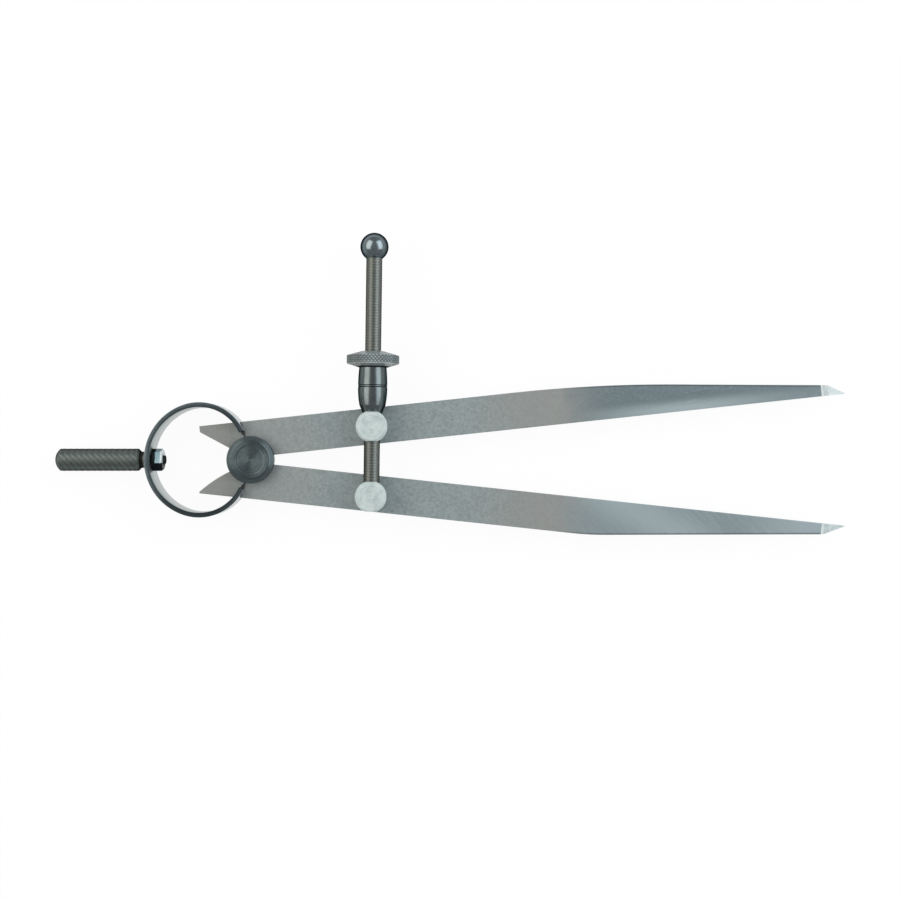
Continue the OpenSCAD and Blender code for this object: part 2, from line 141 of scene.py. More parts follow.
# %% Finish class
def srgb(red, green, blue):
    """A colour named by its screen values, as the linear values that a shader takes."""
    return (*[((c / 255 + 0.055) / 1.055) ** 2.4 if c > 10 else c / 3295 for c in (red, green, blue)], 1)


class Finish(Graph):
    """A material under construction. rest names an attribute with each point's place at rest."""

    def __init__(self, name, rest=None):
        self.material = bpy.data.materials.new(name)
        self.material.use_nodes = True
        super().__init__(self.material.node_tree)
        self.tree.nodes.clear()
        if rest:
            metres = self.node("ShaderNodeAttribute", {"attribute_name": rest}, output="Vector")
        else:
            metres = self.node("ShaderNodeTexCoord", output="Object")
        self.place = self.node(
            "ShaderNodeVectorMath", {"operation": "SCALE"}, {0: metres, "Scale": 1 / MM}
        )

    def axes(self, turn=0.0):
        """X, Y and Z in millimetres, after a turn about Z."""
        place = self.node("ShaderNodeMapping", None, {"Vector": self.place, "Rotation": (0, 0, turn)})
        return [self.node("ShaderNodeSeparateXYZ", None, {0: place}, output=k) for k in range(3)]

    def vector(self, x, y, z):
        return self.node("ShaderNodeCombineXYZ", None, {0: x, 1: y, 2: z})

    def noise(self, scale, detail=2.0, where=None, roughness=0.5):
        sockets = {"Vector": where or self.place, "Scale": scale, "Detail": detail, "Roughness": roughness}
        return self.node("ShaderNodeTexNoise", None, sockets)

    def length(self, x, y):
        return (x * x + y * y).math("SQRT")

    def between(self, value, low, high, soft=0.1):
        """1 between two values and 0 outside them, with soft ends."""
        return self.ease(value, low - soft, low) * (1 - self.ease(value, high, high + soft))

    def mix(self, factor, first, second):
        return self.node("ShaderNodeMix", {"data_type": "RGBA"}, {0: factor, 6: first, 7: second}, output=2)

    def shade(self, sockets, height=None, depth=0.0):
        """Ends the graph. height is a relief from 0 to 1 and depth its size in millimetres."""
        sockets = dict(sockets)
        if height is not None:
            relief = {"Distance": depth * MM, "Height": height}
            sockets["Normal"] = self.node("ShaderNodeBump", None, relief)
        surface = self.node("ShaderNodeBsdfPrincipled", None, sockets)
        self.node("ShaderNodeOutputMaterial", None, {"Surface": surface})
        return self.material


print("finish class ready")

# %% [markdown]
# ### Leg steel
# The legs are blasted to an even, slightly speckled grey, with a warm tinge left by the brazing heat just
# before the ground ends. The last part is ground thinner, so it is bluer and shows fine marks. Its light
# bands differ from leg to leg. The pattern follows each leg, so the coordinates are first turned into
# "along" and "across" the leg.

# %% Leg sizes
LEG_ANGLE = math.radians(6.1)
INNER_EDGE = 0.65
OUTER_EDGE = 9.75
STEEL_END = 144.0
END_WIDTH = 2.8
UPPER_BEND = 87.5
LOWER_BEND = 86.0
UPPER_BEND_RUN = 20.0
LOWER_BEND_RUN = 4.0


def edge_slope(bend):
    """How fast the outer edge comes in past its bend."""
    return (OUTER_EDGE - INNER_EDGE - END_WIDTH) / (STEEL_END - bend)


print("edge slopes:", round(edge_slope(UPPER_BEND), 4), "and", round(edge_slope(LOWER_BEND), 4))

# %% Leg steel
def leg_finish(name, side, bend, run, ground_start, ground_dark, ground_light, marks, light_part):
    """marks are the angle and the strength of the grinding marks. light_part takes the finish and the wires
    along and across, and tells where the ground end is light."""
    finish = Finish(name)
    x, y, z = finish.axes()
    along = x * math.cos(LEG_ANGLE) + y * (side * math.sin(LEG_ANGLE))
    across = y * (side * math.cos(LEG_ANGLE)) - x * math.sin(LEG_ANGLE)
    past_bend = (along - (bend - run)).math("MAXIMUM", 0)
    soft = past_bend.math("MINIMUM", 2 * run)
    to_edge = OUTER_EDGE - across - (soft * soft / (4 * run) + past_bend - soft) * edge_slope(bend)

    speckle = finish.noise(1.4, 3, roughness=0.75)
    cloud = finish.noise(0.13, 3)
    blasted = finish.mix(finish.ease(speckle, 0.3, 0.7), srgb(139, 149, 150), srgb(162, 171, 172))
    near_roller = 1 - finish.ease(finish.length(x, y), 10, 24)
    heated = finish.ease(along + (cloud - 0.5) * 16, 50, 76)
    blasted = finish.mix(heated * 0.65, blasted, srgb(156, 153, 148))
    blasted = finish.mix(near_roller * 0.35, blasted, srgb(154, 151, 146))
    blasted = finish.mix((1 - finish.ease(x, -9, 1)) * 0.5, blasted, srgb(140, 137, 130))

    marks_angle, marks_strength = marks
    turn = math.radians(marks_angle)
    streak_place = finish.vector(
        (along * math.cos(turn) + across * math.sin(turn)) * 0.12,
        (across * math.cos(turn) - along * math.sin(turn)) * 2.2,
        z,
    )
    streaks = finish.noise(1.0, 4, streak_place, 0.65)
    wander = (streaks - 0.5) * 1.6 + (speckle - 0.5) * 1.6
    ground = finish.mix(light_part(finish, along + wander, across + wander), ground_dark, ground_light)
    ground = finish.mix(finish.ease(streaks, 0.4, 0.75) * marks_strength, ground, srgb(174, 185, 188))
    ground = finish.mix(finish.ease(speckle, 0.45, 0.75) * 0.38, ground, srgb(158, 168, 170))
    rim = 1 - finish.ease(to_edge + (streaks - 0.5) * 0.4, 0.15, 0.6)
    ground = finish.mix(rim * 0.7, ground, srgb(76, 88, 93))

    ragged = along + (finish.noise(0.35, 3) - 0.5) * 5 + (speckle - 0.5) * 4
    step = finish.ease(ragged, ground_start + 2.5, ground_start + 6)
    is_ground = step * 0.35 + finish.ease(ragged, ground_start + 3, ground_start + 16) * 0.65
    colour = finish.mix(is_ground, blasted, ground)
    roughness = 0.52 + (speckle - 0.5) * 0.1
    height = speckle * (1 - is_ground) * 0.6 + streaks * is_ground * 0.25
    return finish.shade({"Base Color": colour, "Roughness": roughness, "Metallic": 0.4}, height, 0.012)


print("leg recipe ready")

# %% Leg finishes
def upper_light(finish, along, across):
    """A band along the inner edge that starts past the bend and fades towards the point."""
    reach = finish.ease(along, 74, 106) * (1 - finish.ease(along, 110, 142) * 0.75)
    return reach * (1 - finish.ease(across, 1.4, 4.3))


def lower_light(finish, along, across):
    """A slanted band past the bend, and the last part before the point."""
    slanted = along - across * 2.4
    band = finish.ease(slanted, 70, 91) * (1 - finish.ease(slanted, 91, 112))
    return band.math("MAXIMUM", finish.ease(along, 120, 142))


upper_leg_finish = leg_finish(
    "upper leg steel", 1, UPPER_BEND, UPPER_BEND_RUN, 76.0, srgb(112, 125, 130), srgb(166, 179, 182),
    (3, 0.14), upper_light,
)
lower_leg_finish = leg_finish(
    "lower leg steel", -1, LOWER_BEND, LOWER_BEND_RUN, 74.5, srgb(138, 151, 155), srgb(162, 175, 179),
    (38, 0.3), lower_light,
)
print("leg finishes:", upper_leg_finish.name, lower_leg_finish.name)

# %% [markdown]
# ### Blued, plated and brazed metal
# The turned pieces share one recipe: a metal colour, a slow change of tone, fine marks left by the lathe
# and a little grease or wear. Some also get painted shade on their sides, grime and painted shade in the
# bottoms of their cuts, and some bands of painted highlight and painted shade. The marks are rings, so they
# are drawn from the distance to the piece's own axis. The recipe takes the axis and the centre, and the
# colours are the only thing that changes much.

# %% Turned metal
def turned_finish(name, axis, centre, dark, light, roughness, mark, wear=0.2, metallic=1.0, pitch=7.0,
                  bands=(), edge=0.4, lean=0.0, grime_and_shade=None, dull=None, side_shade=None, round_r=None):
    """axis is 0, 1 or 2 for X, Y or Z, and centre a point on it in millimetres, before any lean about Z.
    bands are (axis, low, high, soft, strength, colour), edge dims the sheen at a grazing view, and
    grime_and_shade is the colour at the bottom of cuts, which the cutting trees write down as "carved":
    grime there and painted shade. dull is a stretch of the axis that mirrors less. side_shade is the
    strength and the colour of painted shade on the sides and underside of a piece that lies on its side,
    and round_r the radius of a ball."""
    finish = Finish(name)
    offsets = [a - c for a, c in zip(finish.axes(lean), centre)]
    places = list(offsets)
    length = offsets.pop(axis)
    radius = finish.length(*offsets)
    cloud = finish.noise(0.55, 3)
    grain = finish.noise(5.0, 2)
    rings = finish.noise(1.0, 2, finish.vector(radius * pitch, length * pitch, 0.0))
    shade = cloud * 0.6 + rings * 0.4
    colour = finish.mix(finish.ease(shade, 0.32, 0.68), dark, light)
    # Painted shade: the lower a point lies on a round piece, the darker it is painted.
    if side_shade:
        upward = offsets[-1] / (round_r or radius.math("MAXIMUM", 0.01))
        colour = finish.mix((1 - finish.ease(upward, 0.5, 0.88)) * side_shade[0], colour, side_shade[1])
    for along, low, high, soft, strength, shift in bands:
        colour = finish.mix(finish.between(places[along], low, high, soft) * strength, colour, shift)
    # Grime and painted shade darken the bottoms of knurls and threads.
    if grime_and_shade:
        carved = finish.node("ShaderNodeAttribute", {"attribute_name": "carved"}, output="Fac")
        colour = finish.mix(finish.ease(carved, 0.0, 0.9), colour, grime_and_shade)
    if dull:
        metallic = metallic - 0.5 * finish.between(length, *dull)
    rough = roughness + (grain - 0.5) * wear * 0.5 + (cloud - 0.5) * wear
    height = rings * 0.8 + grain * 0.2
    sockets = {"Base Color": colour, "Roughness": rough, "Metallic": metallic}
    return finish.shade(sockets | {"Specular Tint": (edge, edge, edge, 1)}, height, mark)


print("turned recipe ready")

# %% Turned finishes
SCREW_LEAN = math.radians(0.75)
LEG_MID = 4.5
STUD_X = 30.35008
STUD_Y = 8.67424
SCREW_Z = 9.6
BALL_R = 3.5
ROLLER_RIM = (6.0, 8.86)
STUD_FACE = (12.7, 14)
HANDLE_AXIS = (0, 0, LEG_MID)
SCREW_AXIS = (STUD_X, 0, SCREW_Z)
UPPER_STUD = (STUD_X, STUD_Y, 0)
LOWER_STUD = (STUD_X, -STUD_Y, 0)
NOSE_Y = 11.82424
RIM_LOW = 12.4
RIM_HIGH = 14.45
NUT_TOP = 15.5
FLANGE_BAND = (NOSE_Y + RIM_LOW - 0.6, NOSE_Y + NUT_TOP + 1)
# Where a highlight is painted along the lower edge of the flange's rim.
FLANGE_RIM_HIGHLIGHT = (NOSE_Y + RIM_LOW - 0.1, NOSE_Y + RIM_LOW + 0.2)

# The band paints shade on the roller's rim and its bevel.
roller_finish = turned_finish(
    "roller blued steel", 2, (0, 0, 0), srgb(90, 101, 104), srgb(104, 115, 117), 0.3, 0.004, 0.06,
    bands=[(2, *ROLLER_RIM, 0.06, 0.6, srgb(66, 75, 77))], dull=ROLLER_RIM,
)
# The grip's first band paints the shadow in the neck, and the second darkens the stem's end past the nut.
grip_finish = turned_finish(
    "grip blued steel", 0, HANDLE_AXIS, srgb(112, 119, 116), srgb(126, 132, 129), 0.48, 0.004, edge=0.1,
    bands=[(0, -28.0, -27.2, 0.1, 0.94, srgb(40, 39, 34)), (0, -22.3, -21, 0.1, 0.9, srgb(44, 47, 48))],
    grime_and_shade=srgb(104, 111, 109), side_shade=(0.75, srgb(68, 73, 73)),
)
nut_finish = turned_finish(
    "nut blued steel", 1, SCREW_AXIS, srgb(110, 119, 120), srgb(124, 132, 132), 0.25, 0.002, 0.03,
    bands=[
        (1, *FLANGE_BAND, 0.1, 0.95, srgb(172, 181, 182)),
        # A painted highlight along the lower edge of the flange's rim.
        (1, *FLANGE_RIM_HIGHLIGHT, 0.1, 0.8, srgb(222, 228, 226)),
        # Painted shade on the left side of the flange and barrel, and on the flange's right end.
        (0, -9, -3.7, 2.0, 0.5, srgb(88, 94, 89)),
        (0, 5.4, 9, 0.8, 0.5, srgb(88, 98, 104)),
    ],
    edge=0.2, lean=SCREW_LEAN, grime_and_shade=srgb(106, 114, 115), dull=FLANGE_BAND, side_shade=(0.75, srgb(60, 68, 70)),
)
ball_finish = turned_finish(
    "ball blued steel", 1, SCREW_AXIS, srgb(132, 143, 147), srgb(146, 155, 159), 0.23, 0.002, 0.04,
    edge=0.05, lean=SCREW_LEAN, side_shade=(0.85, srgb(66, 76, 80)), round_r=BALL_R,
)
thread_finish = turned_finish(
    "screw oiled steel", 1, SCREW_AXIS, srgb(120, 125, 122), srgb(134, 138, 134), 0.4, 0.003, 0.1,
    # Painted shade on the screw's left side.
    bands=[(0, -3.0, -0.8, 1.0, 0.5, srgb(84, 82, 72))],
    edge=0.1, lean=SCREW_LEAN, grime_and_shade=srgb(112, 115, 110), side_shade=(0.6, srgb(72, 74, 69)),
)
washer_finish = turned_finish(
    "lock washer steel", 0, HANDLE_AXIS, srgb(42, 47, 50), srgb(62, 69, 72), 0.38, 0.004
)
hex_finish = turned_finish(
    "hex nut zinc", 0, HANDLE_AXIS, srgb(146, 178, 187), srgb(160, 188, 196), 0.3, 0.001, 0.02, 0.5,
    # A painted highlight on the turned chamfer, and painted shade on the lower facets.
    bands=[(0, -22.7, -22.0, 0.1, 0.9, srgb(236, 242, 244)), (1, -9.0, -0.85, 0.1, 1.0, srgb(34, 38, 42))],
)
stud_marks = {
    "roughness": 0.45, "mark": 0.015, "metallic": 0.85, "pitch": 4.0, "lean": SCREW_LEAN, "dull": STUD_FACE,
}
stud_colours = (srgb(188, 201, 200), srgb(218, 227, 225))
upper_stud_finish = turned_finish("upper stud zinc", 2, UPPER_STUD, *stud_colours, **stud_marks)
lower_stud_finish = turned_finish("lower stud zinc", 2, LOWER_STUD, *stud_colours, **stud_marks)
print("turned finishes ready")

# %% [markdown]
# ### Spring steel, carbide and braze
# The bow is a tempered strip: dark on its sheared edges and bright on its two rolled faces. The inside is
# painted darker towards the front, and round the washer it carries painted shade. The points are
# fine-grained and pale, and their braze is a thin bright line.

# %% Spring, carbide and braze finishes
SPRING_THICK = 1.2
SPRING_WIDTH = 9.0
CROWN_R = 14.5
END_R = 12.2
CROWN = Vector((-11.85, 0.0))
BLEND = math.radians(111)
END = CROWN + (CROWN_R - END_R) * Vector((math.cos(BLEND), math.sin(BLEND)))


def spring_finish():
    """The bow's finish, told apart by the depth below its outside and the height between its edges."""
    finish = Finish("spring steel", rest="rest_place")
    x, y, z = finish.axes()
    crown_depth = CROWN_R - finish.length(x - CROWN.x, y)
    end_depth = END_R - finish.length(x - END.x, abs(y) - END.y)
    at_end = x.math("GREATER_THAN", CROWN.x + CROWN_R * math.cos(BLEND))
    depth = at_end * end_depth + (1 - at_end) * crown_depth
    sheared = 1 - finish.between(z, 0.1, SPRING_WIDTH - 0.1, 0.05)
    inside = finish.ease(depth, 1.0, 1.1) * (1 - sheared)
    outside = (1 - finish.ease(depth, 0.1, 0.2)) * (1 - sheared)
    cloud = finish.noise(0.4, 3)
    around = y.math("ARCTAN2", x - CROWN.x)
    rolled = finish.noise(1.0, 3, finish.vector(around * 1.5, z * 3.0, depth * 3.0))
    colour = finish.mix(finish.ease(cloud, 0.3, 0.7), srgb(116, 128, 134), srgb(138, 149, 155))
    colour = finish.mix(finish.ease(depth, 0.3, 1.0) * 0.8, colour, srgb(72, 82, 87))
    colour = finish.mix(finish.ease(x, -13, -5) * 0.6, colour, srgb(72, 82, 86))
    colour = finish.mix(finish.ease(abs(y), 4, 11) * 0.35, colour, srgb(72, 82, 86))
    low_arc = finish.ease(0 - y, 5, 13) * (1 - finish.ease(x, -9, -3))
    colour = finish.mix(low_arc * 0.8, colour, srgb(64, 72, 76))
    colour = finish.mix(outside * 0.9, colour, srgb(182, 190, 192))
    # Painted shade on the inside round the washer.
    washer_shade = (1 - finish.ease(abs(y), 2.3, 3.2)) * finish.ease(z, 5.5, 7.5)
    pale = finish.mix(finish.ease(z, 4, 9) * 0.6, srgb(178, 186, 184), srgb(134, 142, 142))
    pale = finish.mix(washer_shade * 0.6, pale, srgb(120, 128, 130))
    colour = finish.mix(inside * 0.95, colour, pale)
    rough = 0.36 + (rolled - 0.5) * 0.18 - outside * 0.1
    metallic = 1 - (inside + outside) * 0.1
    return finish.shade({"Base Color": colour, "Roughness": rough, "Metallic": metallic}, rolled, 0.006)


def pale_finish(name, dark, light, roughness, metallic):
    """A fine-grained metal that changes slowly between two colours."""
    finish = Finish(name)
    cloud = finish.noise(1.1, 3)
    grain = finish.noise(9.0, 2)
    colour = finish.mix(finish.ease(cloud, 0.3, 0.7), dark, light)
    rough = roughness + (grain - 0.5) * 0.15
    return finish.shade({"Base Color": colour, "Roughness": rough, "Metallic": metallic}, grain, 0.004)


bow_finish = spring_finish()
carbide_finishes = {
    "upper": pale_finish("upper carbide", srgb(196, 205, 207), srgb(214, 221, 222), 0.45, 0.1),
    "lower": pale_finish("lower carbide", srgb(176, 186, 188), srgb(202, 210, 211), 0.45, 0.1),
}
braze_finish = pale_finish("silver braze", srgb(200, 207, 208), srgb(212, 218, 218), 0.5, 0.0)
rear_finish = pale_finish("washer steel", srgb(128, 135, 138), srgb(160, 166, 167), 0.4, 0.9)
print("finishes:", len(bpy.data.materials))

# %% [markdown]
# ## Turned pieces
# Most pieces come off a lathe, so they start as a profile of radius and height. Real edges are never quite
# sharp: each corner of the profile is broken by a small round, because that is what catches the light.
# A profile can be closed, which leaves a bore, or it can start and end on the axis.

# %% Profiles
NEARLY_STRAIGHT = math.radians(170)


def rounded(points, radius, steps=4, support=0.04):
    """The profile with each inner corner rounded, and a point outside each round to keep flats flat."""
    out = [Vector(points[0])]
    for before, corner, after in zip(points, points[1:], points[2:]):
        corner = Vector(corner)
        back = Vector(before) - corner
        ahead = Vector(after) - corner
        turn = back.angle(ahead)
        if turn > NEARLY_STRAIGHT:
            out.append(corner)
            continue
        reach = min(radius / math.tan(turn / 2), 0.4 * back.length, 0.4 * ahead.length)
        first = corner + back.normalized() * reach
        last = corner + ahead.normalized() * reach
        out.append(first + back.normalized() * min(support, 0.05 * back.length))
        for i in range(steps + 1):
            t = i / steps
            out.append(first * (1 - t) ** 2 + corner * (2 * t * (1 - t)) + last * t**2)
        out.append(last + ahead.normalized() * min(support, 0.05 * ahead.length))
    return out + [Vector(points[-1])]


def rounded_loop(points, radius, steps=4):
    """A closed profile with every corner rounded."""
    return rounded(points + points[:2], radius, steps)[1:-1]


def spaced(points, step, low, high):
    """The profile with more points between two heights, no further apart than step."""
    points = [Vector(p) for p in points]
    out = [points[0]]
    for a, b in zip(points, points[1:]):
        inside = low <= (a[1] + b[1]) / 2 <= high
        count = max(1, math.ceil((b - a).length / step)) if inside else 1
        out += [a.lerp(b, (i + 1) / count) for i in range(count)]
    return out


print("profiles ready")

# %% Turning
def turned(points, segments, closed=False):
    """A mesh turned about Z from (radius, height) points in millimetres."""
    mesh = bmesh.new()
    angles = [2 * math.pi * k / segments for k in range(segments)]
    rings = []
    for radius, height in map(Vector, points):
        if radius < 1e-6:
            rings.append([mesh.verts.new((0, 0, height))] * segments)
        else:
            points_round = [(radius * math.cos(a), radius * math.sin(a), height) for a in angles]
            rings.append([mesh.verts.new(p) for p in points_round])
    pairs = list(zip(rings, rings[1:])) + ([(rings[-1], rings[0])] if closed else [])
    for low, high in pairs:
        for k in range(segments):
            n = (k + 1) % segments
            corners = dict.fromkeys((low[k], low[n], high[n], high[k]))
            if len(corners) > 2:
                mesh.faces.new(list(corners))
    bmesh.ops.recalc_face_normals(mesh, faces=mesh.faces)
    return mesh


print("lathe ready")

# %% [markdown]
# ## From a draft to a finished piece
# A draft is drawn in millimetres where it is easiest, about its own axis. Finishing it turns it into place,
# scales it to metres inside its mesh, leaves its object at the origin, rides it on its body and hides the
# solids it stands for. Shading is smooth, with a crease where two faces meet at more than 35 degrees.

# %% Places
ALONG_X = Matrix.Translation(HANDLE_AXIS) @ Matrix.Rotation(math.radians(90), 4, "Y")
LEAN_TURN = Matrix.Rotation(-SCREW_LEAN, 4, "Z")
Z_TO_Y = Matrix.Rotation(math.radians(-90), 4, "X")
ALONG_SCREW = LEAN_TURN @ Matrix.Translation(SCREW_AXIS) @ Z_TO_Y
print("the screw leans by", round(math.degrees(SCREW_LEAN), 2), "degrees")

# %% Drafts and cuts
def as_object(draft, name):
    """A draft mesh as a new object, still in millimetres."""
    mesh = bpy.data.meshes.new(name)
    draft.to_mesh(mesh)
    draft.free()
    piece = bpy.data.objects.new(name, mesh)
    bpy.context.scene.collection.objects.link(piece)
    return piece


def settled(piece):
    """The piece with its modifiers turned into plain mesh."""
    graph = bpy.context.evaluated_depsgraph_get()
    mesh = bpy.data.meshes.new_from_object(piece.evaluated_get(graph))
    piece.modifiers.clear()
    old = piece.data
    piece.data = mesh
    bpy.data.meshes.remove(old)
    mesh.name = piece.name
    return piece


def cut(piece, tools, operation="DIFFERENCE"):
    """The piece after exact cuts by the tool meshes, which are then removed."""
    for tool in tools:
        modifier = piece.modifiers.new("cut", "BOOLEAN")
        modifier.operation = operation
        modifier.solver = "EXACT"
        modifier.object = tool
    settled(piece)
    for tool in tools:
        bpy.data.objects.remove(tool)
    return piece


print("cuts ready")

# %% Finishing
CREASE = math.radians(35)
MERGE = 2e-7


def finished(piece, finish, body, replaces, place=None):
    """The draft as a piece: put in place, in metres, merged, shaded, given to its body, with the solids it
    stands for hidden.
    """
    mesh = piece.data
    mesh.transform(Matrix.Scale(MM, 4) @ (place or Matrix.Identity(4)))
    tidy = bmesh.new()
    tidy.from_mesh(mesh)
    bmesh.ops.remove_doubles(tidy, verts=tidy.verts, dist=MERGE)
    bmesh.ops.dissolve_degenerate(tidy, edges=tidy.edges, dist=MERGE)
    bmesh.ops.recalc_face_normals(tidy, faces=tidy.faces)
    open_edges = sum(1 for e in tidy.edges if len(e.link_faces) != 2)
    tidy.to_mesh(mesh)
    tidy.free()
    mesh.shade_smooth()
    mesh.set_sharp_from_angle(angle=CREASE)
    mesh.materials.clear()
    mesh.materials.append(finish)
    if body:
        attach(piece, body)
    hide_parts(*replaces)
    print(f"{piece.name}: {len(mesh.polygons)} faces, {open_edges} open edges")
    return piece


print("finishing ready")

# %% Tools to cut with
def box_tool(low, high):
    """A box between two corners, to cut with."""
    draft = bmesh.new()
    size = Vector(high) - Vector(low)
    middle = (Vector(high) + Vector(low)) / 2
    bmesh.ops.create_cube(draft, size=1, matrix=Matrix.Translation(middle) @ Matrix.Diagonal((*size, 1)))
    return as_object(draft, "box tool")


def rod_tool(radius, low, high, place, segments=64):
    """A round rod along Z between two heights, put in place, to cut with."""
    draft = turned([(0, low), (radius, low), (radius, high), (0, high)], segments)
    tool = as_object(draft, "rod tool")
    tool.data.transform(place)
    return tool


def half_of(whole, name, point, outward):
    """What a plane through point leaves of a draft, closed again. outward points to the side that goes."""
    draft = bmesh.new()
    draft.from_mesh(whole.data)
    everything = draft.verts[:] + draft.edges[:] + draft.faces[:]
    bmesh.ops.bisect_plane(
        draft, geom=everything, dist=1e-5, plane_co=point, plane_no=outward, clear_outer=True
    )
    bmesh.ops.holes_fill(draft, edges=[e for e in draft.edges if e.is_boundary])
    return as_object(draft, name)


print("tools ready")

# %% [markdown]
# ## Knurling and threads
# Knurls and threads repeat by a rule, so Geometry Nodes cut them. Both trees take a plain turned draft and
# pull its points in to the bottom of the cut. A diamond knurl is two sets of crossing helical grooves; a
# thread is one groove that climbs by its pitch each turn. Nothing is ever pushed out past the plain radius.

# %% Geometry trees
def new_tree(name, inputs):
    """A geometry tree with named inputs. Returns its graph, the geometry coming in and the named wires."""
    tree = bpy.data.node_groups.new(name, "GeometryNodeTree")
    tree.interface.new_socket("Geometry", in_out="INPUT", socket_type="NodeSocketGeometry")
    for label, kind in inputs:
        tree.interface.new_socket(label, in_out="INPUT", socket_type=kind)
    tree.interface.new_socket("Geometry", in_out="OUTPUT", socket_type="NodeSocketGeometry")
    graph = Graph(tree)
    entry = tree.nodes.new("NodeGroupInput")
    wires = {label: Wire(graph, entry.outputs[label]) for label, kind in inputs}
    return graph, Wire(graph, entry.outputs["Geometry"]), wires


def end_tree(graph, geometry, material):
    """Ends a tree with plain geometry and its material, and returns it."""
    geometry = graph.node("GeometryNodeRealizeInstances", None, {"Geometry": geometry})
    geometry = graph.node("GeometryNodeSetMaterial", None, {"Geometry": geometry, "Material": material})
    graph.node("NodeGroupOutput", None, {"Geometry": geometry})
    return graph.tree


def with_tree(piece, tree, values):
    """The piece after a geometry tree, whose inputs are set by their identifiers first."""
    modifier = piece.modifiers.new(tree.name, "NODES")
    modifier.node_group = tree
    for socket in tree.interface.items_tree:
        if socket.in_out == "INPUT" and socket.name in values:
            modifier[socket.identifier] = values[socket.name]
    return settled(piece)


print("tree helpers ready")

# %% Cutting trees
def cutting_tree(name, height_of):
    """A tree that pulls points in to Radius - Depth * (1 - height), where height_of gives 0 to 1."""
    sizes = ["Radius", "Depth", "Count", "Pitch", "Start", "End", "Run-out", "Cross"]
    graph, geometry, size = new_tree(
        name, [(s, "NodeSocketFloat") for s in sizes] + [("Finish", "NodeSocketMaterial")]
    )
    position = graph.node("GeometryNodeInputPosition")
    x, y, z = [graph.node("ShaderNodeSeparateXYZ", None, {0: position}, output=k) for k in range(3)]
    radius = (x * x + y * y).math("SQRT").math("MAXIMUM", 1e-6)
    around = y.math("ARCTAN2", x) / (2 * math.pi)
    height = height_of(graph, around, z, size).math("MINIMUM", 1)
    begin = graph.ease(z, size["Start"], size["Start"] + size["Run-out"])
    finish = 1 - graph.ease(z, size["End"] - size["Run-out"], size["End"])
    bottom = size["Radius"] - size["Depth"] * (1 - height) * begin * finish
    inside = z.math("GREATER_THAN", size["Start"]) * z.math("LESS_THAN", size["End"])
    target = radius.math("MINIMUM", bottom) * inside + radius * (1 - inside)
    share = target / radius
    moved = graph.node("ShaderNodeCombineXYZ", None, {0: x * share, 1: y * share, 2: z})
    before = graph.node("GeometryNodeInputNamedAttribute", None, {"Name": "carved"})
    carved = ((radius - target) / size["Depth"]).math("MAXIMUM", before)
    geometry = graph.node("GeometryNodeStoreNamedAttribute", None, {
        "Geometry": geometry, "Name": "carved", "Value": carved,
    })
    geometry = graph.node("GeometryNodeSetPosition", None, {"Geometry": geometry, "Position": moved})
    return end_tree(graph, geometry, size["Finish"])


def diamond_height(graph, around, z, size):
    """Two crossing sets of grooves. Cross is the share of the depth that the second set has."""
    one = graph.zigzag(around * size["Count"] - z / size["Pitch"])
    other = graph.zigzag(around * size["Count"] + z / size["Pitch"])
    shallow = 1 - (1 - other) * size["Cross"]
    return one.math("MINIMUM", shallow) * 1.2


def thread_height(graph, around, z, size):
    """One groove that climbs by its pitch each turn and leaves a flat crest."""
    return graph.zigzag(z / size["Pitch"] - around * size["Count"]) * 1.25 - 0.1


knurl_tree = cutting_tree("diamond knurl", diamond_height)
thread_tree = cutting_tree("screw thread", thread_height)
print("trees:", knurl_tree.name, "and", thread_tree.name)

# %% [markdown]
# ## The handle
# Grip, neck and stem are one turned bar, screwed through the crown of the bow. The grip is knurled between
# its domed end and its bevelled shoulder, and the stem has a fine thread that ends just past the hex nut.

# %% Handle
GRIP_END = -49.4
GRIP_R = 2.8
GRIP_LENGTH = 21.5
DOME_R = 3.6
BEVEL = 0.6
NECK_R = 2.05
NECK_END = GRIP_LENGTH + 1.53
STEM_R = 1.25
STEM_END = 27.69
dome_turn = math.asin(GRIP_R / DOME_R)
dome_angles = [dome_turn * i / 16 for i in range(17)]
dome = [(DOME_R * math.sin(a), DOME_R * (1 - math.cos(a))) for a in dome_angles]
bar = rounded(
    dome + [
        (GRIP_R, GRIP_LENGTH - BEVEL), (GRIP_R - BEVEL, GRIP_LENGTH), (NECK_R, GRIP_LENGTH),
        (NECK_R, NECK_END), (STEM_R, NECK_END), (STEM_R, STEM_END - 0.25), (STEM_R - 0.25, STEM_END),
        (0, STEM_END),
    ],
    0.1,
)
bar = spaced(bar, 0.09, dome[-1][1], GRIP_LENGTH)
bar = spaced(bar, 0.056, NECK_END, STEM_END)
handle = as_object(turned(bar, 168), "handle_bar")
with_tree(handle, knurl_tree, {
    "Radius": GRIP_R, "Depth": 0.042, "Count": 10.0, "Pitch": 1.5, "Start": 1.2,
    "End": GRIP_LENGTH, "Run-out": 0.001, "Cross": 0.5, "Finish": grip_finish,
})
with_tree(handle, thread_tree, {
    "Radius": STEM_R, "Depth": 0.25, "Count": 1.0, "Pitch": 0.45, "Start": NECK_END + 0.4,
    "End": STEM_END + 1, "Run-out": 0.3, "Finish": grip_finish,
})
handle_place = Matrix.Translation((GRIP_END, 0, 0)) @ ALONG_X
finished(handle, grip_finish, "bow", ["handle"], handle_place)

# %% [markdown]
# ## Lock washer and hex nut
# Inside the bow a dark split washer and a bright hex nut hold the handle. The nut is a hexagon with its
# corners turned off on the outer side, so each flat ends in a curve.

